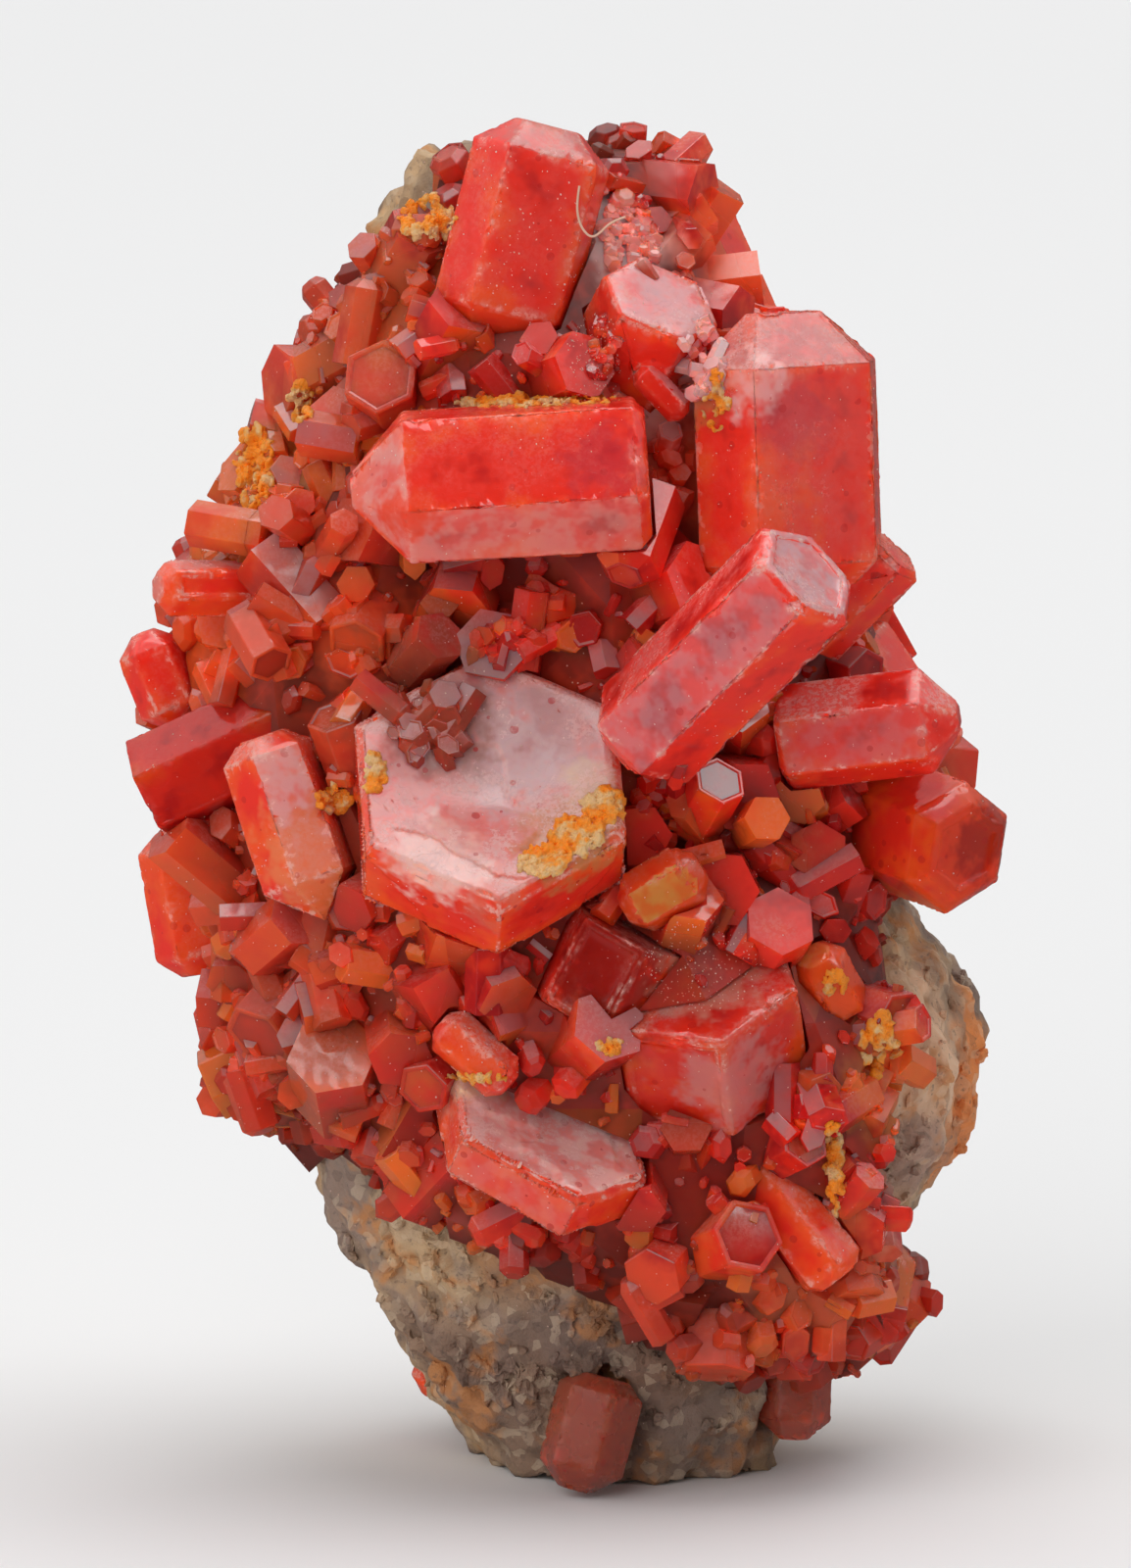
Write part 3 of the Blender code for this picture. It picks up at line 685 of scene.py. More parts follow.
def crystal_material(name, finish, colours):
    material, tree, shader, spot = new_material(name)
    turn = facing(finish, "tip").rotation_difference(Vector((1, 0, 0))).to_euler()
    along = add_node(tree, "ShaderNodeMapping", {"Vector": spot, "Rotation": turn}).outputs[0]
    normal = tree.nodes.new("ShaderNodeNewGeometry").outputs["Normal"]
    cloud = speckle(tree, spot, 0.85 * MM, 3, 0.6)
    ragged = speckle(tree, spot, 0.3 * MM, 2, 0.6)
    grain = speckle(tree, spot, GRAIN, 2, 0.7)
    # A painted glow: the crystal turns more orange along its rims, as if light shone through the thin edges.
    thin = times(tree, attribute(tree, "rim"), 0.3)
    colour = zoned(tree, colours, reckoned(tree, "SUBTRACT", finish.tone, thin), cloud)
    # Painted light on the faces by the way they look: mostly a painted sheen, in places a painted shade, in
    # others a painted glow.
    for tint in finish.tints:
        colour = face_lit(tree, colour, tint.colour, facing(finish, tint.way), tint.strength, normal, ragged)
    colour = stained(tree, colour, finish.stains, spot, ragged)
    pits = effect(tree, "specks", {"Vector": spot, "Size": 0.16 * MM, "Share": 0.16})["Mask"]
    colour = mixed(tree, times(tree, pits, 0.25 + 0.3 * finish.terrace), colour, colours.dusky)
    lines = effect(tree, "growth_lines", {"Vector": along, "Cloud": cloud, "Terraces": finish.terrace})
    # Dust with a painted sheen on the faces that look up.
    dust = dusted_and_sheened(tree, colour, colours.bloom, finish.bloom, spot, normal, cloud, grain)
    # Pale worn edges, partly a painted glint of light along them, stronger on dustier crystals.
    edges = times(tree, attribute(tree, "worn"), min(1, 2 * finish.bloom))
    scuffs_and_glints = {"Color": dust["Color"], "Scuff": colours.scuff, "Worn": edges, "Cloud": ragged, "Grain": grain}
    worn = effect(tree, "worn_edge", scuffs_and_glints)
    dull = plus(tree, times(tree, dust["Mask"], 0.35), finish.rough)
    dull = plus(tree, dull, eased(tree, ragged, 0.4, 0.65, 0.0, 0.1))
    feed_all(tree, shader.inputs, {
        "Base Color": worn["Color"],
        "Roughness": plus(tree, dull, times(tree, worn["Mask"], 0.25), clamp=True),
        "Transmission Weight": finish.clear,
        "Normal": bumped(tree, reckoned(tree, "SUBTRACT", lines["Height"], pits), 0.012 * MM),
    })
    glassy(tree, shader, plus(tree, dust["Mask"], worn["Mask"], clamp=True))
    return material


def druse_material(name, colours):
    """The crust and the small crystals on it. Each facet or crystal carries its own tone and its depth."""
    material, tree, shader, spot = new_material(name)
    normal = tree.nodes.new("ShaderNodeNewGeometry").outputs["Normal"]
    cloud = speckle(tree, spot, 0.7 * MM, 3, 0.6)
    grain = speckle(tree, spot, GRAIN, 2, 0.7)
    tone, deep = attribute(tree, "tone"), attribute(tree, "deep")
    colour = zoned(tree, colours, eased(tree, tone, 0.0, 1.0, 0.9, 0.2), cloud)
    places, wander = axes(tree, spot), swung(tree, cloud, 5 * MM)
    left = eased(tree, plus(tree, places["X"], wander), -3.4 * MM, -0.8 * MM, 0.65, 0.0)
    low = eased(tree, plus(tree, places["Z"], wander), 2.6 * MM, 4.4 * MM, 0.5, 0.0)
    colour = mixed(tree, reckoned(tree, "MAXIMUM", left, low), colour, colours.earthy)
    colour = mixed(tree, eased(tree, tone, 0.78, 0.92, 0.0, 0.55), colour, colours.amber)
    other = reckoned(tree, "FRACT", times(tree, tone, 13.0))
    colour = mixed(tree, eased(tree, other, 0.5, 0.1, 0.0, 0.6), colour, colours.dusky)
    # Painted shade deep in the crust, lifted in places by a painted glow as if lit from behind.
    recess_shade = mixed(tree, eased(tree, cloud, 0.5, 0.68), colours.recess_shade, colours.glow)
    colour = mixed(tree, times(tree, deep, 0.95), colour, recess_shade)
    colour = stained(tree, colour, DRUSE_STAINS, spot, cloud)
    # A painted sheen on some of the shallow facets and crystals that look toward the viewer and up.
    shallow = eased(tree, deep, 0.1, 0.9, 1.0, 0.1)
    strength = times(tree, eased(tree, tone, 0.5, 0.28, 0.08, 0.75), shallow)
    way = (TOWARD + UPWARD * 0.5).normalized()
    colour = face_lit(tree, colour, PALE_FACET, way, strength, normal, cloud)
    dust = dusted_and_sheened(tree, colour, colours.bloom, times(tree, shallow, 0.22), spot, normal, cloud, grain)
    dull = times(tree, reckoned(tree, "MAXIMUM", dust["Mask"], deep), 0.5)
    feed_all(tree, shader.inputs, {
        "Base Color": dust["Color"],
        "Roughness": plus(tree, dull, 0.07),
        "Normal": bumped(tree, speckle(tree, spot, 0.2 * MM, 0), 0.01 * MM),
    })
    glassy(tree, shader, dust["Mask"])
    return material


def rock_material(name, colours):
    material, tree, shader, spot = new_material(name)
    broad = speckle(tree, spot, 1.4 * MM, 3, 0.65)
    fine = speckle(tree, spot, 0.1 * MM, 3, 0.7)
    colour = mixed(tree, eased(tree, broad, 0.4, 0.62), colours.rock_tan, colours.rock_grey)
    colour = stained(tree, colour, ROCK_STAINS, spot, broad)
    rust = eased(tree, speckle(tree, spot, 0.8 * MM, 3, 0.65), 0.5, 0.64, 0.0, 0.7)
    colour = mixed(tree, rust, colour, RUST)
    cells = add_node(tree, "ShaderNodeTexVoronoi", {"Vector": spot, "Scale": 1 / (0.15 * MM)})
    grains = add_node(tree, "ShaderNodeSeparateColor", {"Color": cells.outputs["Color"]}).outputs["Green"]
    colour = mixed(tree, eased(tree, grains, 0.7, 0.95, 0.0, 0.28), colour, PALE_GRAIN)
    # Dark patches, and a painted shade in the rock's hollows.
    dark = eased(tree, speckle(tree, spot, 2.2 * MM, 3, 0.7), 0.5, 0.66, 0.0, 0.6)
    dark = reckoned(tree, "MAXIMUM", dark, attribute(tree, "hollow"))
    for share in (eased(tree, grains, 0.0, 0.25, 0.3, 0.0), eased(tree, fine, 0.42, 0.3, 0.0, 0.5), dark):
        colour = mixed(tree, share, colour, colours.rock_dark)
    relief = plus(tree, fine, times(tree, cells.outputs["Distance"], 0.7))
    feed_all(tree, shader.inputs, {
        "Base Color": colour,
        "Roughness": eased(tree, fine, 0.3, 0.7, 0.6, 0.95),
        "Normal": bumped(tree, relief, 0.035 * MM),
    })
    return material


def grain_material(name, colours):
    material, tree, shader, spot = new_material(name)
    colour = mixed(tree, attribute(tree, "tone"), colours.cream, PALE_DUST)
    colour = mixed(tree, speckle(tree, spot, 0.01 * MM), colour, colours.bloom)
    feed_all(tree, shader.inputs, {"Base Color": colour, "Roughness": 0.6})
    return material


def limonite_material(name, colours):
    material, tree, shader, spot = new_material(name)
    patch = speckle(tree, spot, 0.3 * MM, 3, 0.6)
    fine = speckle(tree, spot, 0.04 * MM, 3, 0.7)
    colour = mixed(tree, eased(tree, patch, 0.42, 0.58), OCHRE, colours.limonite)
    colour = mixed(tree, eased(tree, patch, 0.5, 0.6, 0.0, 0.7), colour, colours.cream)
    feed_all(tree, shader.inputs, {
        "Base Color": mixed(tree, eased(tree, fine, 0.45, 0.3, 0.0, 0.5), colour, BURNT),
        "Roughness": eased(tree, fine, 0.3, 0.7, 0.3, 0.6),
        "Normal": bumped(tree, fine, 0.02 * MM),
    })
    inner_light(tree, shader, 0.4, (1.0, 0.5, 0.12), 0.15 * MM)
    return material


def mode(name):
    bpy.ops.object.mode_set(mode=name)


def only(piece):
    """Selects one object alone and makes it active."""
    if bpy.context.object and bpy.context.object.mode != "OBJECT":
        mode("OBJECT")
    bpy.ops.object.select_all(action="DESELECT")
    piece.select_set(True)
    bpy.context.view_layer.objects.active = piece


def store(piece, name, values, domain="POINT"):
    piece.data.attributes.new(name, "FLOAT", domain).data.foreach_set("value", values)


def select_parts(piece, kind, numbers):
    """Leaves the piece in edit mode with those vertices, edges or polygons selected."""
    only(piece)
    bpy.context.tool_settings.mesh_select_mode = [kind == each for each in ("vertices", "edges", "polygons")]
    mode("EDIT")
    bpy.ops.mesh.select_all(action="DESELECT")
    mode("OBJECT")
    parts = getattr(piece.data, kind)
    chosen = np.zeros(len(parts), bool)
    chosen[numbers] = True
    parts.foreach_set("select", chosen)
    mode("EDIT")


def copy_of_node(node, name):
    """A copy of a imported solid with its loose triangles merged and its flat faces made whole."""
    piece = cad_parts[node].copy()
    piece.data = piece.data.copy()
    piece.name = name
    for key in list(piece.keys()):
        del piece[key]
    piece.parent = None
    piece.matrix_world = Matrix.Identity(4)
    bpy.context.scene.collection.objects.link(piece)
    piece.data.materials.clear()
    only(piece)
    mode("EDIT")
    bpy.ops.mesh.select_all(action="SELECT")
    bpy.ops.mesh.remove_doubles(threshold=SAME_POINT)
    bpy.ops.mesh.dissolve_limited(angle_limit=math.radians(0.5))
    mode("OBJECT")
    return piece


def joined(pieces, name):
    only(pieces[0])
    for piece in pieces:
        piece.select_set(True)
    bpy.ops.object.join()
    pieces[0].name = name
    return pieces[0]


def vertex_array(piece):
    points = np.empty(len(piece.data.vertices) * 3)
    piece.data.vertices.foreach_get("co", points)
    return points.reshape(-1, 3)


def keep_in_box(piece):
    """Presses what stands out of the solids' box back into it."""
    low, high = (np.array(corner) for corner in CAD_BOX)
    points = np.clip(vertex_array(piece), low, high)
    piece.data.vertices.foreach_set("co", points.ravel())
    piece.data.update()


def settle(piece, material, node=None):
    """Presses a finished piece into the solids' box, gives it its finish and its body, and hides the imported
    solid that it stands for, if any.
    """
    keep_in_box(piece)
    piece.data.materials.clear()
    piece.data.materials.append(material)
    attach(piece, "root")
    if node:
        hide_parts(node)


def displaced(piece, size, strength, group="", kind="CLOUDS", middle=0.5, stops=(), flat=False):
    """Roughens a piece by a texture whose features are about size metres wide. stops, each a place and a
    height, reshape its rise, in flat levels if asked."""
    texture = bpy.data.textures.new(piece.name + "_relief", kind)
    texture.noise_scale = size
    if stops:
        texture.use_color_ramp = True
        ramp = texture.color_ramp
        ramp.interpolation = "CONSTANT" if flat else "EASE"
        ramp.elements[0].color = (0, 0, 0, 1)
        for place_on_ramp, height in stops:
            ramp.elements.new(place_on_ramp).color = (height, height, height, 1)
    only(piece)
    modifier = piece.modifiers.new("relief", "DISPLACE")
    modifier.texture = texture
    modifier.texture_coords = "LOCAL"
    modifier.strength = strength
    modifier.mid_level = middle
    modifier.vertex_group = group
    bpy.ops.object.modifier_apply(modifier=modifier.name)


def sharp_edges(mesh, angle, shortest=0.0):
    """The numbers of the edges where faces meet in an outward bend of more than angle degrees."""
    beside = {}
    for face in mesh.polygons:
        for key in face.edge_keys:
            beside.setdefault(key, []).append(face)
    least = math.cos(math.radians(angle))
    found = []
    for edge in mesh.edges:
        faces = beside.get(edge.key, ())
        if len(faces) != 2 or faces[0].normal.dot(faces[1].normal) > least:
            continue
        start, end = (mesh.vertices[index].co for index in edge.vertices)
        outward = (faces[0].center - start).dot(faces[1].normal) < 0
        if outward and (end - start).length > shortest:
            found.append(edge.index)
    return found


def chamfered(piece, numbers, width):
    """Bevels those edges, and stores the new faces as the attribute worn."""
    for _ in range(2):
        piece.data.materials.append(None)
    select_parts(piece, "edges", numbers)
    bpy.ops.mesh.bevel(offset=width, segments=1, affect="EDGES", material=1, clamp_overlap=True)
    mode("OBJECT")
    new = np.zeros(len(piece.data.polygons), int)
    piece.data.polygons.foreach_get("material_index", new)
    store(piece, "worn", new.astype(float), "FACE")
    piece.data.polygons.foreach_set("material_index", np.zeros(len(new), int))
    piece.data.materials.clear()


def split_long_edges(piece, longest, lines=None, reach=0.0):
    """Splits a piece's edges, or only those within reach of some lines, until none is longer than longest."""
    only(piece)
    mode("EDIT")
    bpy.ops.mesh.select_all(action="SELECT")
    bpy.ops.mesh.quads_convert_to_tris()
    for _ in range(7):
        mode("OBJECT")
        points = vertex_array(piece)
        ends = np.empty(len(piece.data.edges) * 2, int)
        piece.data.edges.foreach_get("vertices", ends)
        first, second = points[ends.reshape(-1, 2).T]
        long = np.linalg.norm(first - second, axis=1) > longest
        if lines is not None:
            long &= distance_to_lines((first + second) / 2, lines) < reach
        if not long.any():
            break
        select_parts(piece, "edges", np.nonzero(long)[0])
        bpy.ops.mesh.subdivide(number_cuts=1)
    mode("OBJECT")


def distance_to_lines(points, lines):
    """How far each point is from the nearest of some lines, given as their starts and ends."""
    nearest = np.full(len(points), 1.0)
    for start, end in lines:
        along = end - start
        share = np.clip((points - start) @ along / (along @ along), 0, 1)
        nearest = np.minimum(nearest, np.linalg.norm(points - start - share[:, None] * along, axis=1))
    return nearest


def mark_rims(piece, lines):
    """Stores a broad band along the edges as rim, and the edges themselves as the vertex group worn."""
    away = distance_to_lines(vertex_array(piece), lines)
    store(piece, "rim", np.clip(1 - away / RIM_BAND, 0, 1))
    group = piece.vertex_groups.new(name="worn")
    group.add(np.nonzero(away < WORN_BAND)[0].tolist(), 1.0, "REPLACE")


def remeshed(piece, voxel):
    only(piece)
    piece.data.remesh_voxel_size = voxel
    piece.data.remesh_voxel_adaptivity = 0
    bpy.ops.object.voxel_remesh()
    return piece


def stepped(piece, axis, steps, ledge):
    """Sinks every second length of a crystal by a ledge. steps are shares of its length along the axis."""
    reach = vertex_array(piece) @ np.array(axis)
    low, high = reach.min(), reach.max()
    bounds = [low + (high - low) * step for step in steps]
    only(piece)
    mode("EDIT")
    for number, bound in enumerate(bounds):
        for cut in (bound, bound + ledge * (1 if number % 2 == 0 else -1)):
            bpy.ops.mesh.select_all(action="SELECT")
            bpy.ops.mesh.bisect(plane_co=axis * cut, plane_no=axis)
    mode("OBJECT")
    reach = vertex_array(piece) @ np.array(axis)
    sunk = np.zeros(len(reach), bool)
    bounds.append(high + 2 * ledge)
    for start, end in zip(bounds[::2], bounds[1::2]):
        sunk |= (reach > start + 0.9 * ledge) & (reach < end - 0.9 * ledge)
    select_parts(piece, "vertices", np.nonzero(sunk)[0])
    bpy.ops.transform.shrink_fatten(value=-ledge, use_even_offset=True)
    mode("OBJECT")


def facing(finish, way):
    """The direction of a crystal's face, named as in Tint."""
    heading, toward = math.radians(finish.heading), math.radians(finish.toward)
    flat = ACROSS * math.cos(heading) + UPWARD * math.sin(heading)
    axis = flat * math.cos(toward) + TOWARD * math.sin(toward)
    sides = {"front": TOWARD, "upper": UPWARD, "lower": -UPWARD, "left": -ACROSS, "right": ACROSS}
    total = Vector()
    for word in way.split():
        if word in sides:
            total += (sides[word] - axis * sides[word].dot(axis)).normalized()
        else:
            total += axis if word == "tip" else -axis
    return total.normalized()


def dished(piece, way, rim, depth):
    """Sinks the large faces that look one way inside a rim."""
    faces = [face for face in piece.data.polygons if face.normal.dot(way) > SAME_WAY]
    largest = max(face.area for face in faces)
    select_parts(piece, "polygons", [face.index for face in faces if face.area > 0.5 * largest])
    bpy.ops.mesh.inset(thickness=rim, depth=0)
    bpy.ops.mesh.inset(thickness=depth, depth=-depth)
    mode("OBJECT")


def hollowed(piece, centre, way, reach, depth):
    """Presses a smooth hollow into a piece that is already finely split."""
    nearest = int(np.argmin(np.linalg.norm(vertex_array(piece) - centre, axis=1)))
    select_parts(piece, "vertices", [nearest])
    bpy.ops.transform.translate(
        value=way * -depth,
        use_proportional_edit=True,
        proportional_edit_falloff="SMOOTH",
        proportional_size=reach,
        use_proportional_connected=True,
    )
    mode("OBJECT")


def standing_crystal(node, finish, sizes):
    """A crystal with growth ledges, chipped edges and faintly wavy faces, in place of its solid."""
    piece = copy_of_node(node, node + "_finish")
    if finish.steps:
        stepped(piece, facing(finish, "tip"), finish.steps, sizes.ledge)
    dish = finish.dish
    way = facing(finish, dish.way) if dish else None
    if dish and dish.rim:
        dished(piece, way, dish.rim * MM, dish.depth * MM)
    edges = sharp_edges(piece.data, CRYSTAL_BEND)
    points = vertex_array(piece)
    lines = [points[list(piece.data.edges[number].vertices)] for number in edges]
    if dish and not dish.rim:
        face = max(piece.data.polygons, key=lambda face: face.area * (face.normal.dot(way) > SAME_WAY))
        centre, reach = np.array(face.center), math.sqrt(face.area / math.pi)
    chamfered(piece, edges, sizes.chamfer)
    split_long_edges(piece, sizes.mesh_edge * (0.55 if finish.terrace > 0.5 else 1))
    split_long_edges(piece, sizes.rim_edge, lines, 0.05 * MM)
    mark_rims(piece, lines)
    if dish and not dish.rim:
        hollowed(piece, centre, way, reach, dish.depth * MM)
        displaced(piece, 2.2 * MM, 0.035 * MM, middle=1.0, stops=((0.5, 1.0),), flat=True)
    # chips and fine wear along the edges, then faint waves all over
    displaced(piece, 0.4 * MM, -sizes.chip, "worn", middle=0.0, stops=((0.58, 0.0), (0.74, 1.0)))
    displaced(piece, 0.12 * MM, 0.012 * MM, "worn", middle=1.0)
    displaced(piece, 1.2 * MM, 0.02 * MM, middle=0.75)
    only(piece)
    bpy.ops.object.shade_smooth_by_angle(angle=math.radians(22))
    return piece


class SPECIMEN_OT_crystals(Operator):
    """Finish the standing crystals"""

    bl_idname = "specimen.crystals"
    bl_label = "Standing crystals"

    def execute(self, context):
        colours, sizes = context.scene.specimen_colours, context.scene.specimen_sizes
        for node, finish in LOOKS.items():
            piece = standing_crystal(node, finish, sizes)
            settle(piece, crystal_material(node + "_finish", finish, colours), node)
        return {"FINISHED"}


class SPECIMEN_OT_rock(Operator):
    """Finish the lump of rock"""

    bl_idname = "specimen.rock"
    bl_label = "Rock"

    def execute(self, context):
        colours, sizes = context.scene.specimen_colours, context.scene.specimen_sizes
        piece = remeshed(copy_of_node("matrix", "rock"), sizes.rock_voxel)
        before = vertex_array(piece)
        for size, height, kind in ((0.9, 0.3, "CLOUDS"), (0.35, 0.22, "STUCCI"), (0.15, 0.1, "CLOUDS")):
            displaced(piece, size * MM, height * MM, kind=kind, middle=0.6)
        keep_in_box(piece)
        # How far the rock was pressed in; its material darkens these hollows as a painted shade.
        moved = np.linalg.norm(vertex_array(piece) - before, axis=1)
        store(piece, "hollow", np.clip((moved - 0.08 * MM) / (0.22 * MM), 0, 1) * 0.8)
        only(piece)
        bpy.ops.object.shade_smooth()
        settle(piece, rock_material("rock", colours), "matrix")
        return {"FINISHED"}


def small_crystal_model(name, kind):
    """A model for the small crystals: width 1, its tip face at z = 0, and one of three kinds of end."""
    bpy.ops.object.select_all(action="DESELECT")
    middle = (0, 0, -SMALL_LENGTH / 2)
    bpy.ops.mesh.primitive_cylinder_add(vertices=6, radius=0.5, depth=SMALL_LENGTH, location=middle)
    piece = bpy.context.object
    piece.name = name
    bpy.ops.object.transform_apply(location=True, rotation=True, scale=True)
    if kind == "barrel":
        select_parts(piece, "vertices", [each.index for each in piece.data.vertices if each.co.z > -0.01])
        bpy.ops.mesh.bevel(offset=0.16, segments=1, affect="EDGES")
        mode("OBJECT")
    if kind == "hopper":
        dished(piece, Vector((0, 0, 1)), 0.07, 0.04)
    ends = {number: piece.data.edges[number].vertices for number in sharp_edges(piece.data, CRYSTAL_BEND)}
    heights = vertex_array(piece)[:, 2]
    root = 0.05 - SMALL_LENGTH
    chamfered(piece, [number for number, pair in ends.items() if heights[list(pair)].max() > root], 0.018)
    return piece


def placed_copy(model, matrix, tone, deep=0.0):
    copy = model.copy()
    copy.data = model.data.copy()
    copy.data.transform(matrix)
    for name, value in (("tone", tone), ("deep", deep)):
        store(copy, name, [value] * len(copy.data.vertices))
    bpy.context.scene.collection.objects.link(copy)
    return copy


def sprouted(models, spot, normal, width, deep, chance):
    """A small crystal that leans out of a surface at a spot."""
    lean = Vector([chance.gauss(0, 0.55) for _ in range(3)])
    axis = (normal + lean).normalized()
    tip = spot + axis * width * chance.uniform(0.2, 0.7)
    size = Matrix.Diagonal((width * chance.uniform(0.6, 1), width, width * chance.uniform(0.7, 1.4), 1))
    turn = Matrix.Rotation(chance.uniform(0, math.tau), 4, "Z")
    stand = Matrix.Translation(tip) @ axis.to_track_quat("Z", "Y").to_matrix().to_4x4() @ turn @ size
    return placed_copy(chance.choice(models), stand, chance.random(), deep)


def free_ends(mesh):
    """The whole hexagonal end faces in a mesh, as centre, normal, one corner and width."""
    found = []
    for face in mesh.polygons:
        if len(face.vertices) != 6:
            continue
        corners = [mesh.vertices[index].co for index in face.vertices]
        centre = sum(corners, Vector()) / 6
        reach = [(corner - centre).length for corner in corners]
        sides = [(a - b).length for a, b in zip(corners, corners[1:] + corners[:1])]
        mean = sum(reach) / 6
        if max(abs(value - mean) for value in reach + sides) < 0.04 * mean:
            found.append((centre, face.normal.copy(), corners[0].copy(), mean * 2))
    return found


class SPECIMEN_OT_crust(Operator):
    """Finish the crust, with a bevelled crystal over each free end in it"""

    bl_idname = "specimen.crust"
    bl_label = "Crust"

    def execute(self, context):
        colours = context.scene.specimen_colours
        chance = random.Random(5)
        rock = tree_of(["matrix"])
        piece = copy_of_node("crystal_crust", "crust_finish")
        ends = free_ends(piece.data)
        faces = piece.data.polygons
        tones = [chance.uniform(0.2, 0.9) if face.area > FACET * MM ** 2 else 0.5 for face in faces]
        store(piece, "tone", tones, "FACE")
        chamfered(piece, sharp_edges(piece.data, 25, 0.15 * MM), 0.014 * MM)
        # How deep each point lies in the crust, which sets how much painted shade it gets.
        off_rock = np.array([rock.find_nearest(vertex.co)[3] for vertex in piece.data.vertices])
        store(piece, "deep", np.clip(1 - (off_rock - 0.6 * MM) / (0.6 * MM), 0, 1))
        settle(piece, druse_material("crust", colours), "crystal_crust")
        models = [small_crystal_model("model_" + kind, kind) for kind in ("flat", "barrel", "hopper")]
        grown = []
        for centre, normal, corner, width in ends:
            side = (corner - centre).normalized()
            stand = Matrix((side.cross(normal), side, normal)).transposed().to_4x4()
            stand = Matrix.Translation(centre + normal * 0.012 * MM) @ stand @ Matrix.Scale(width * 1.02, 4)
            grown.append(placed_copy(chance.choice(models[::2]), stand, chance.random()))
        piece = joined(grown, "small_crystals")
        settle(piece, druse_material("small_crystals", colours))
        druse(context, models, chance)
        for model in models:
            bpy.data.objects.remove(model)
        return {"FINISHED"}


def tree_of(nodes):
    """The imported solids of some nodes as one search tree."""
    points, faces = [], []
    for node in nodes:
        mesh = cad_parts[node].data
        faces += [[len(points) + index for index in face.vertices] for face in mesh.polygons]
        points += [vertex.co for vertex in mesh.vertices]
    return BVHTree.FromPolygons(points, faces)


def druse(context, models, chance):
    """Tiny crystals in the gaps of the crust, leaning off its surface."""
    sizes, colours = context.scene.specimen_sizes, context.scene.specimen_colours
    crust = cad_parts["crystal_crust"]
    rock_tree = tree_of(["matrix"])
    standing = tree_of(LOOKS)
    faces = crust.data.polygons
    sums = np.cumsum([face.area for face in faces])
    grown = []
    while len(grown) < sizes.druse:
        face = faces[int(np.searchsorted(sums, chance.uniform(0, sums[-1])))]
        corners = [crust.data.vertices[index].co for index in face.vertices]
        a, b = sorted((chance.random(), chance.random()))
        spot = corners[0] * a + corners[1] * (b - a) + corners[2] * (1 - b)
        off_rock = rock_tree.find_nearest(spot)[3]
        if not DRUSE_DEPTH[0] < off_rock < DRUSE_DEPTH[1] or standing.find_nearest(spot)[3] < DRUSE_GAP:
            continue
        off_bare = abs(spot.dot(ACROSS) / MM - BARE.across), abs(spot.dot(UPWARD) / MM - BARE.up)
        if off_bare[0] < BARE.width / 2 and off_bare[1] < BARE.height / 2:
            continue
        width = (0.12 + 0.48 * chance.random() ** 2.5) * MM
        # How deep it grows in the crust, which sets how much painted shade it gets.
        deep = min(1, max(0, 1.1 - off_rock / (0.85 * MM)))
        grown.append(sprouted(models, spot, face.normal, width, deep, chance))
    finished = trees_of(FINISHED + ["crust_finish"])
    for patch in OVERGROWTH:
        for _ in range(patch.count):
            spot, normal = seen_within(patch, finished, chance)
            if spot:
                width = patch.size * chance.uniform(0.5, 1.3) * MM
                grown.append(sprouted(models, spot, normal, width, 0.1, chance))
    settle(joined(grown, "druse"), druse_material("druse", colours))


def lump_models(count, subdivisions, raggedness):
    """Lumps of about unit size, each ragged in its own way."""
    models = []
    for seed in range(count):
        bpy.ops.object.select_all(action="DESELECT")
        bpy.ops.mesh.primitive_ico_sphere_add(subdivisions=subdivisions, radius=0.5, location=(0, 0, 0))
        mode("EDIT")
        bpy.ops.mesh.select_all(action="SELECT")
        bpy.ops.transform.vertex_random(offset=raggedness, seed=seed)
        mode("OBJECT")
        models.append(bpy.context.object)
    return models


def trees_of(names):
    """Search trees of finished pieces, by name."""
    graph = bpy.context.evaluated_depsgraph_get()
    return [BVHTree.FromObject(bpy.data.objects[name], graph) for name in names]


def seen_at(across, up, trees):
    """The point that the viewer sees at a place, and the surface's normal there."""
    hits = [tree.ray_cast(place(across, up, 20), -TOWARD) for tree in trees]
    return min((hit for hit in hits if hit[0]), key=lambda hit: hit[3], default=(None, None))[:2]


def seen_within(patch, trees, chance):
    turn, reach = chance.uniform(0, math.tau), math.sqrt(chance.random())
    across = patch.across + patch.width / 2 * reach * math.cos(turn)
    return seen_at(across, patch.up + patch.height / 2 * reach * math.sin(turn), trees)


def strewn(name, models, patches, trees, chance):
    """Bits dropped on what the viewer sees within each patch, joined in one mesh."""
    bits = []
    for patch in patches:
        for _ in range(patch.count):
            spot = seen_within(patch, trees, chance)[0]
            size = patch.size * chance.uniform(0.5, 1.6) * MM
            spin = Euler([chance.uniform(0, math.tau) for _ in range(3)]).to_matrix().to_4x4()
            flat = Matrix.Diagonal((1, chance.uniform(0.4, 1), chance.uniform(0.35, 0.8), 1))
            if spot:
                stand = Matrix.Translation(spot) @ spin @ flat @ Matrix.Scale(size, 4)
                bits.append(placed_copy(chance.choice(models), stand, chance.random()))
    return joined(bits, name)


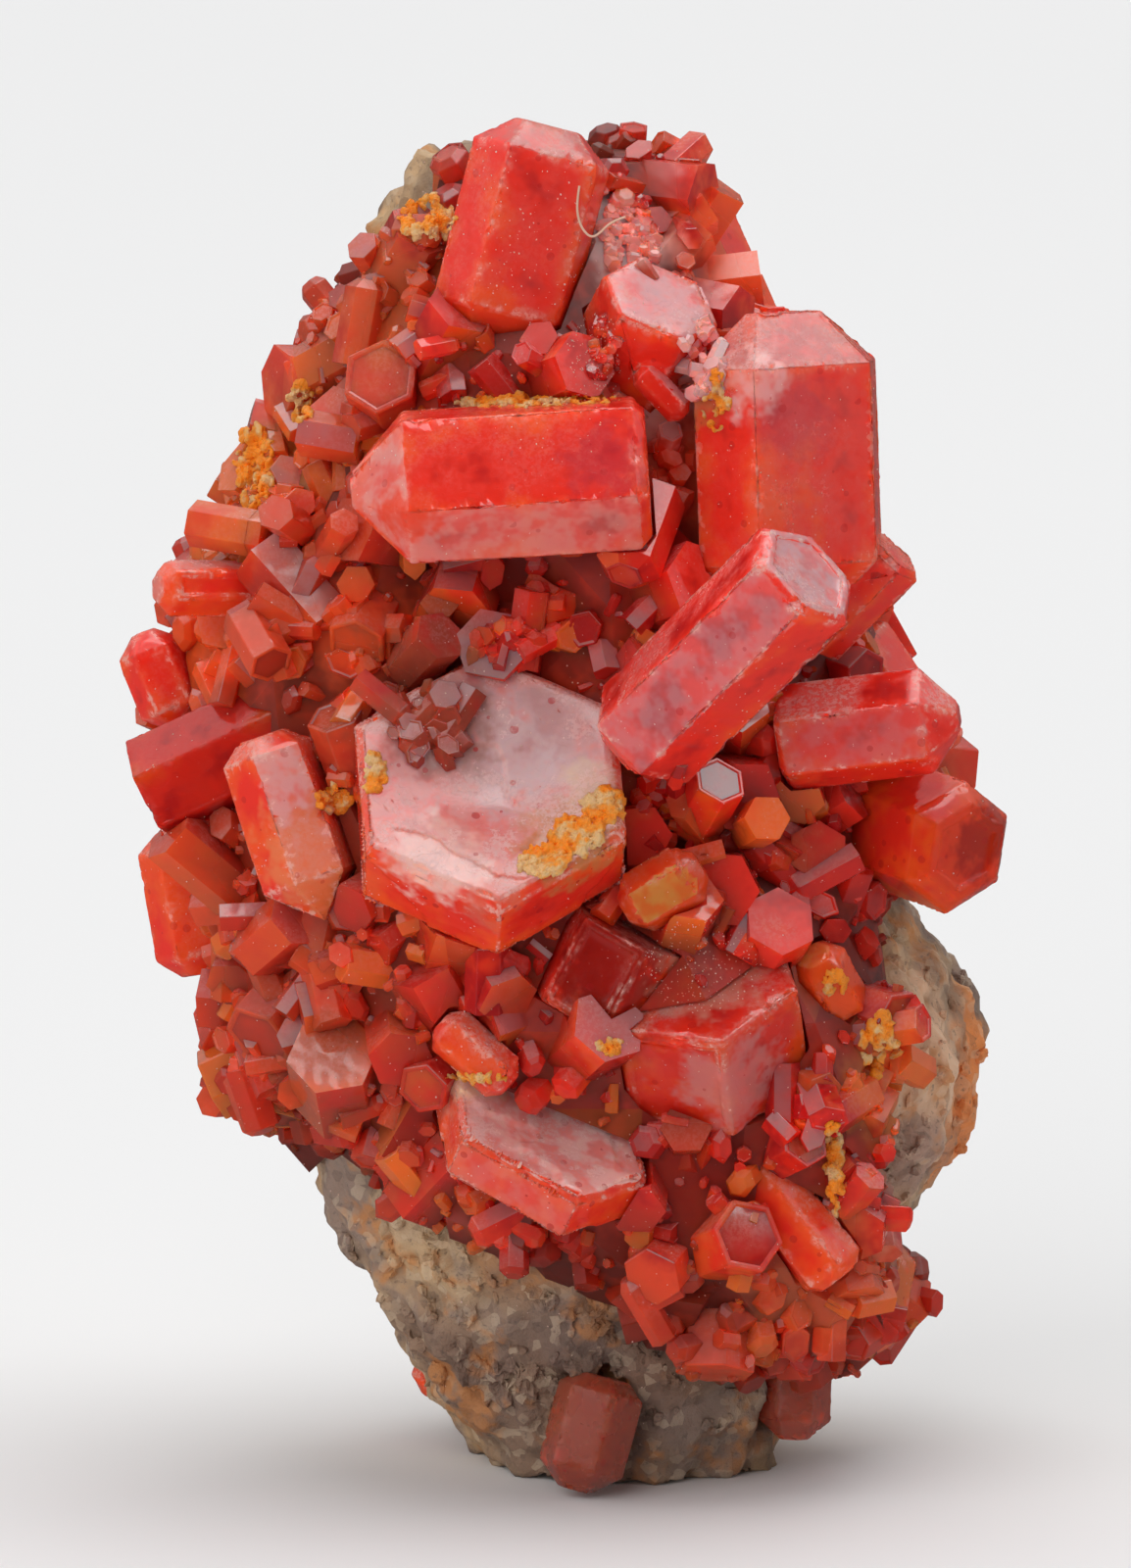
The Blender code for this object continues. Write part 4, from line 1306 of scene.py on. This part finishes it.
def lint_fibre(trees):
    """One thin fibre lying on the top crystal."""
    curve = bpy.data.curves.new("lint_fibre", "CURVE")
    curve.dimensions = "3D"
    curve.bevel_depth = FIBRE_THICKNESS / 2 * MM
    curve.bevel_resolution = 1
    spline = curve.splines.new("NURBS")
    spline.points.add(len(FIBRE) - 1)
    spline.use_endpoint_u = True
    lift = TOWARD * FIBRE_THICKNESS * MM
    front = seen_at(*FIBRE[0], trees)[0].dot(TOWARD)
    for point, (across, up) in zip(spline.points, FIBRE):
        hit = seen_at(across, up, trees)[0]
        if hit and abs(hit.dot(TOWARD) - front) < 0.3 * MM:
            front = hit.dot(TOWARD)
        base = place(across, up, 0)
        point.co = (*(base + TOWARD * (front - base.dot(TOWARD)) + lift), 1)
    fibre = bpy.data.objects.new("lint_fibre", curve)
    bpy.context.scene.collection.objects.link(fibre)
    only(fibre)
    bpy.ops.object.convert(target="MESH")
    bpy.ops.object.shade_smooth()
    return bpy.context.object


class SPECIMEN_OT_loose(Operator):
    """Strew limonite crumbs, rock crumbs and dust, and lay the lint fibre"""

    bl_idname = "specimen.loose"
    bl_label = "Loose bits"

    def execute(self, context):
        colours = context.scene.specimen_colours
        chance = random.Random(9)
        crumbs, grain = lump_models(3, 2, 0.2), lump_models(1, 1, 0)
        trees = trees_of(FINISHED + ["crust_finish", "small_crystals", "druse", "rock"])
        limonite = remeshed(strewn("limonite_crumbs", crumbs, LIMONITE, trees, chance), 0.029 * MM)
        displaced(limonite, 0.12 * MM, 0.045 * MM, middle=0.5)
        settle(limonite, limonite_material("limonite", colours))
        rubble = remeshed(strewn("rock_crumbs", crumbs, ROCK_CRUMBS, trees_of(["rock"]), chance), 0.045 * MM)
        displaced(rubble, 0.12 * MM, 0.08 * MM, middle=0.6)
        settle(rubble, rock_material("rock_crumbs", colours))
        dust = strewn("dust_grains", grain, GRAINS, trees, chance)
        settle(dust, grain_material("dust_grains", colours))
        settle(lint_fibre(trees), grain_material("lint_fibre", colours))
        for model in crumbs + grain:
            bpy.data.objects.remove(model)
        return {"FINISHED"}


def soft_world(stage):
    """Soft light, brightest overhead and dark round the camera, so that faces turned to it keep their
    colour."""
    world = bpy.data.worlds.new("soft_light")
    world.use_nodes = True
    tree = world.node_tree
    way = tree.nodes.new("ShaderNodeTexCoord").outputs["Generated"]
    shade = eased(tree, compared(tree, "DOT_PRODUCT", way, TOWARD), 0.45, 0.8, 1.0, 1 - stage.shade)
    shade = times(tree, shade, eased(tree, axes(tree, way)["Z"], 0.0, 0.7, 0.2, 1.0))
    inputs = {"Color": (0.95, 0.95, 0.955), "Strength": times(tree, shade, stage.world)}
    feed_all(tree, tree.nodes["Background"].inputs, inputs)
    return world


class SPECIMEN_OT_stage(Operator):
    """Set up the floor, the light and the camera"""

    bl_idname = "specimen.stage"
    bl_label = "Stage"

    def execute(self, context):
        scene = context.scene
        stage = scene.specimen_stage
        bpy.ops.object.select_all(action="DESELECT")
        bpy.ops.mesh.primitive_circle_add(vertices=96, radius=1.5, fill_type="NGON", location=(0, 0, 0))
        floor = context.object
        floor.name = "floor"
        material, tree, shader, spot = new_material("floor")
        colour = mixed(tree, speckle(tree, spot, 0.05), (0.86, 0.86, 0.86), (0.88, 0.88, 0.88))
        feed_all(tree, shader.inputs, {"Base Color": colour, "Roughness": 0.9})
        floor.data.materials.append(material)
        floor.visible_glossy = False
        scene.world = soft_world(stage)
        for name, spot, size, power, mirrored in (
            ("softbox", (0.1, 0.05, 0.77), 0.75, stage.softbox, True),
            ("fill", (-0.45, -0.75, 0.4), 1.0, stage.fill, False),
        ):
            bpy.ops.object.light_add(type="AREA", location=spot)
            light = context.object
            light.name = name
            light.data.size = size
            light.data.energy = power
            light.visible_glossy = mirrored
            light.rotation_euler = (Vector((0, 0, 0.009)) - Vector(spot)).to_track_quat("-Z", "Y").to_euler()
        distance = stage.lens * FRAME_HEIGHT / SENSOR
        centre = ACROSS * PICTURE_CENTRE[0] + UPWARD * PICTURE_CENTRE[1]
        bpy.ops.object.camera_add(location=centre + TOWARD * distance)
        camera = context.object
        camera.rotation_euler = (-TOWARD).to_track_quat("-Z", "Y").to_euler()
        camera.data.lens = stage.lens
        camera.data.sensor_width = SENSOR
        camera.data.clip_start = 0.01
        camera.data.clip_end = 10
        scene.camera = camera
        scene.view_settings.view_transform = "Standard"
        return {"FINISHED"}


class SPECIMEN_PT_panel(Panel):
    """The specimen's sizes, colours and steps"""

    bl_idname = "SPECIMEN_PT_panel"
    bl_label = "Specimen"
    bl_space_type = "VIEW_3D"
    bl_region_type = "UI"
    bl_category = "Specimen"

    def draw(self, context):
        for group in SETTINGS:
            settings = getattr(context.scene, group)
            for name in settings.bl_rna.properties.keys():
                if name not in ("rna_type", "name"):
                    self.layout.prop(settings, name)
        for step in STEPS:
            self.layout.operator(step.bl_idname)


SETTINGS = {
    "specimen_colours": SpecimenColours,
    "specimen_sizes": SpecimenSizes,
    "specimen_stage": StageSettings,
}
STEPS = (SPECIMEN_OT_rock, SPECIMEN_OT_crystals, SPECIMEN_OT_crust, SPECIMEN_OT_loose, SPECIMEN_OT_stage)


def register():
    for shown in (*SETTINGS.values(), *STEPS, SPECIMEN_PT_panel):
        bpy.utils.register_class(shown)
    for name, kind in SETTINGS.items():
        setattr(bpy.types.Scene, name, PointerProperty(type=kind))


def unregister():
    for name in SETTINGS:
        delattr(bpy.types.Scene, name)
    for shown in (SPECIMEN_PT_panel, *reversed(STEPS), *SETTINGS.values()):
        bpy.utils.unregister_class(shown)


def main():
    register()
    for step in STEPS:
        group, action = step.bl_idname.split(".")
        getattr(getattr(bpy.ops, group), action)()


if __name__ == "__main__":
    main()
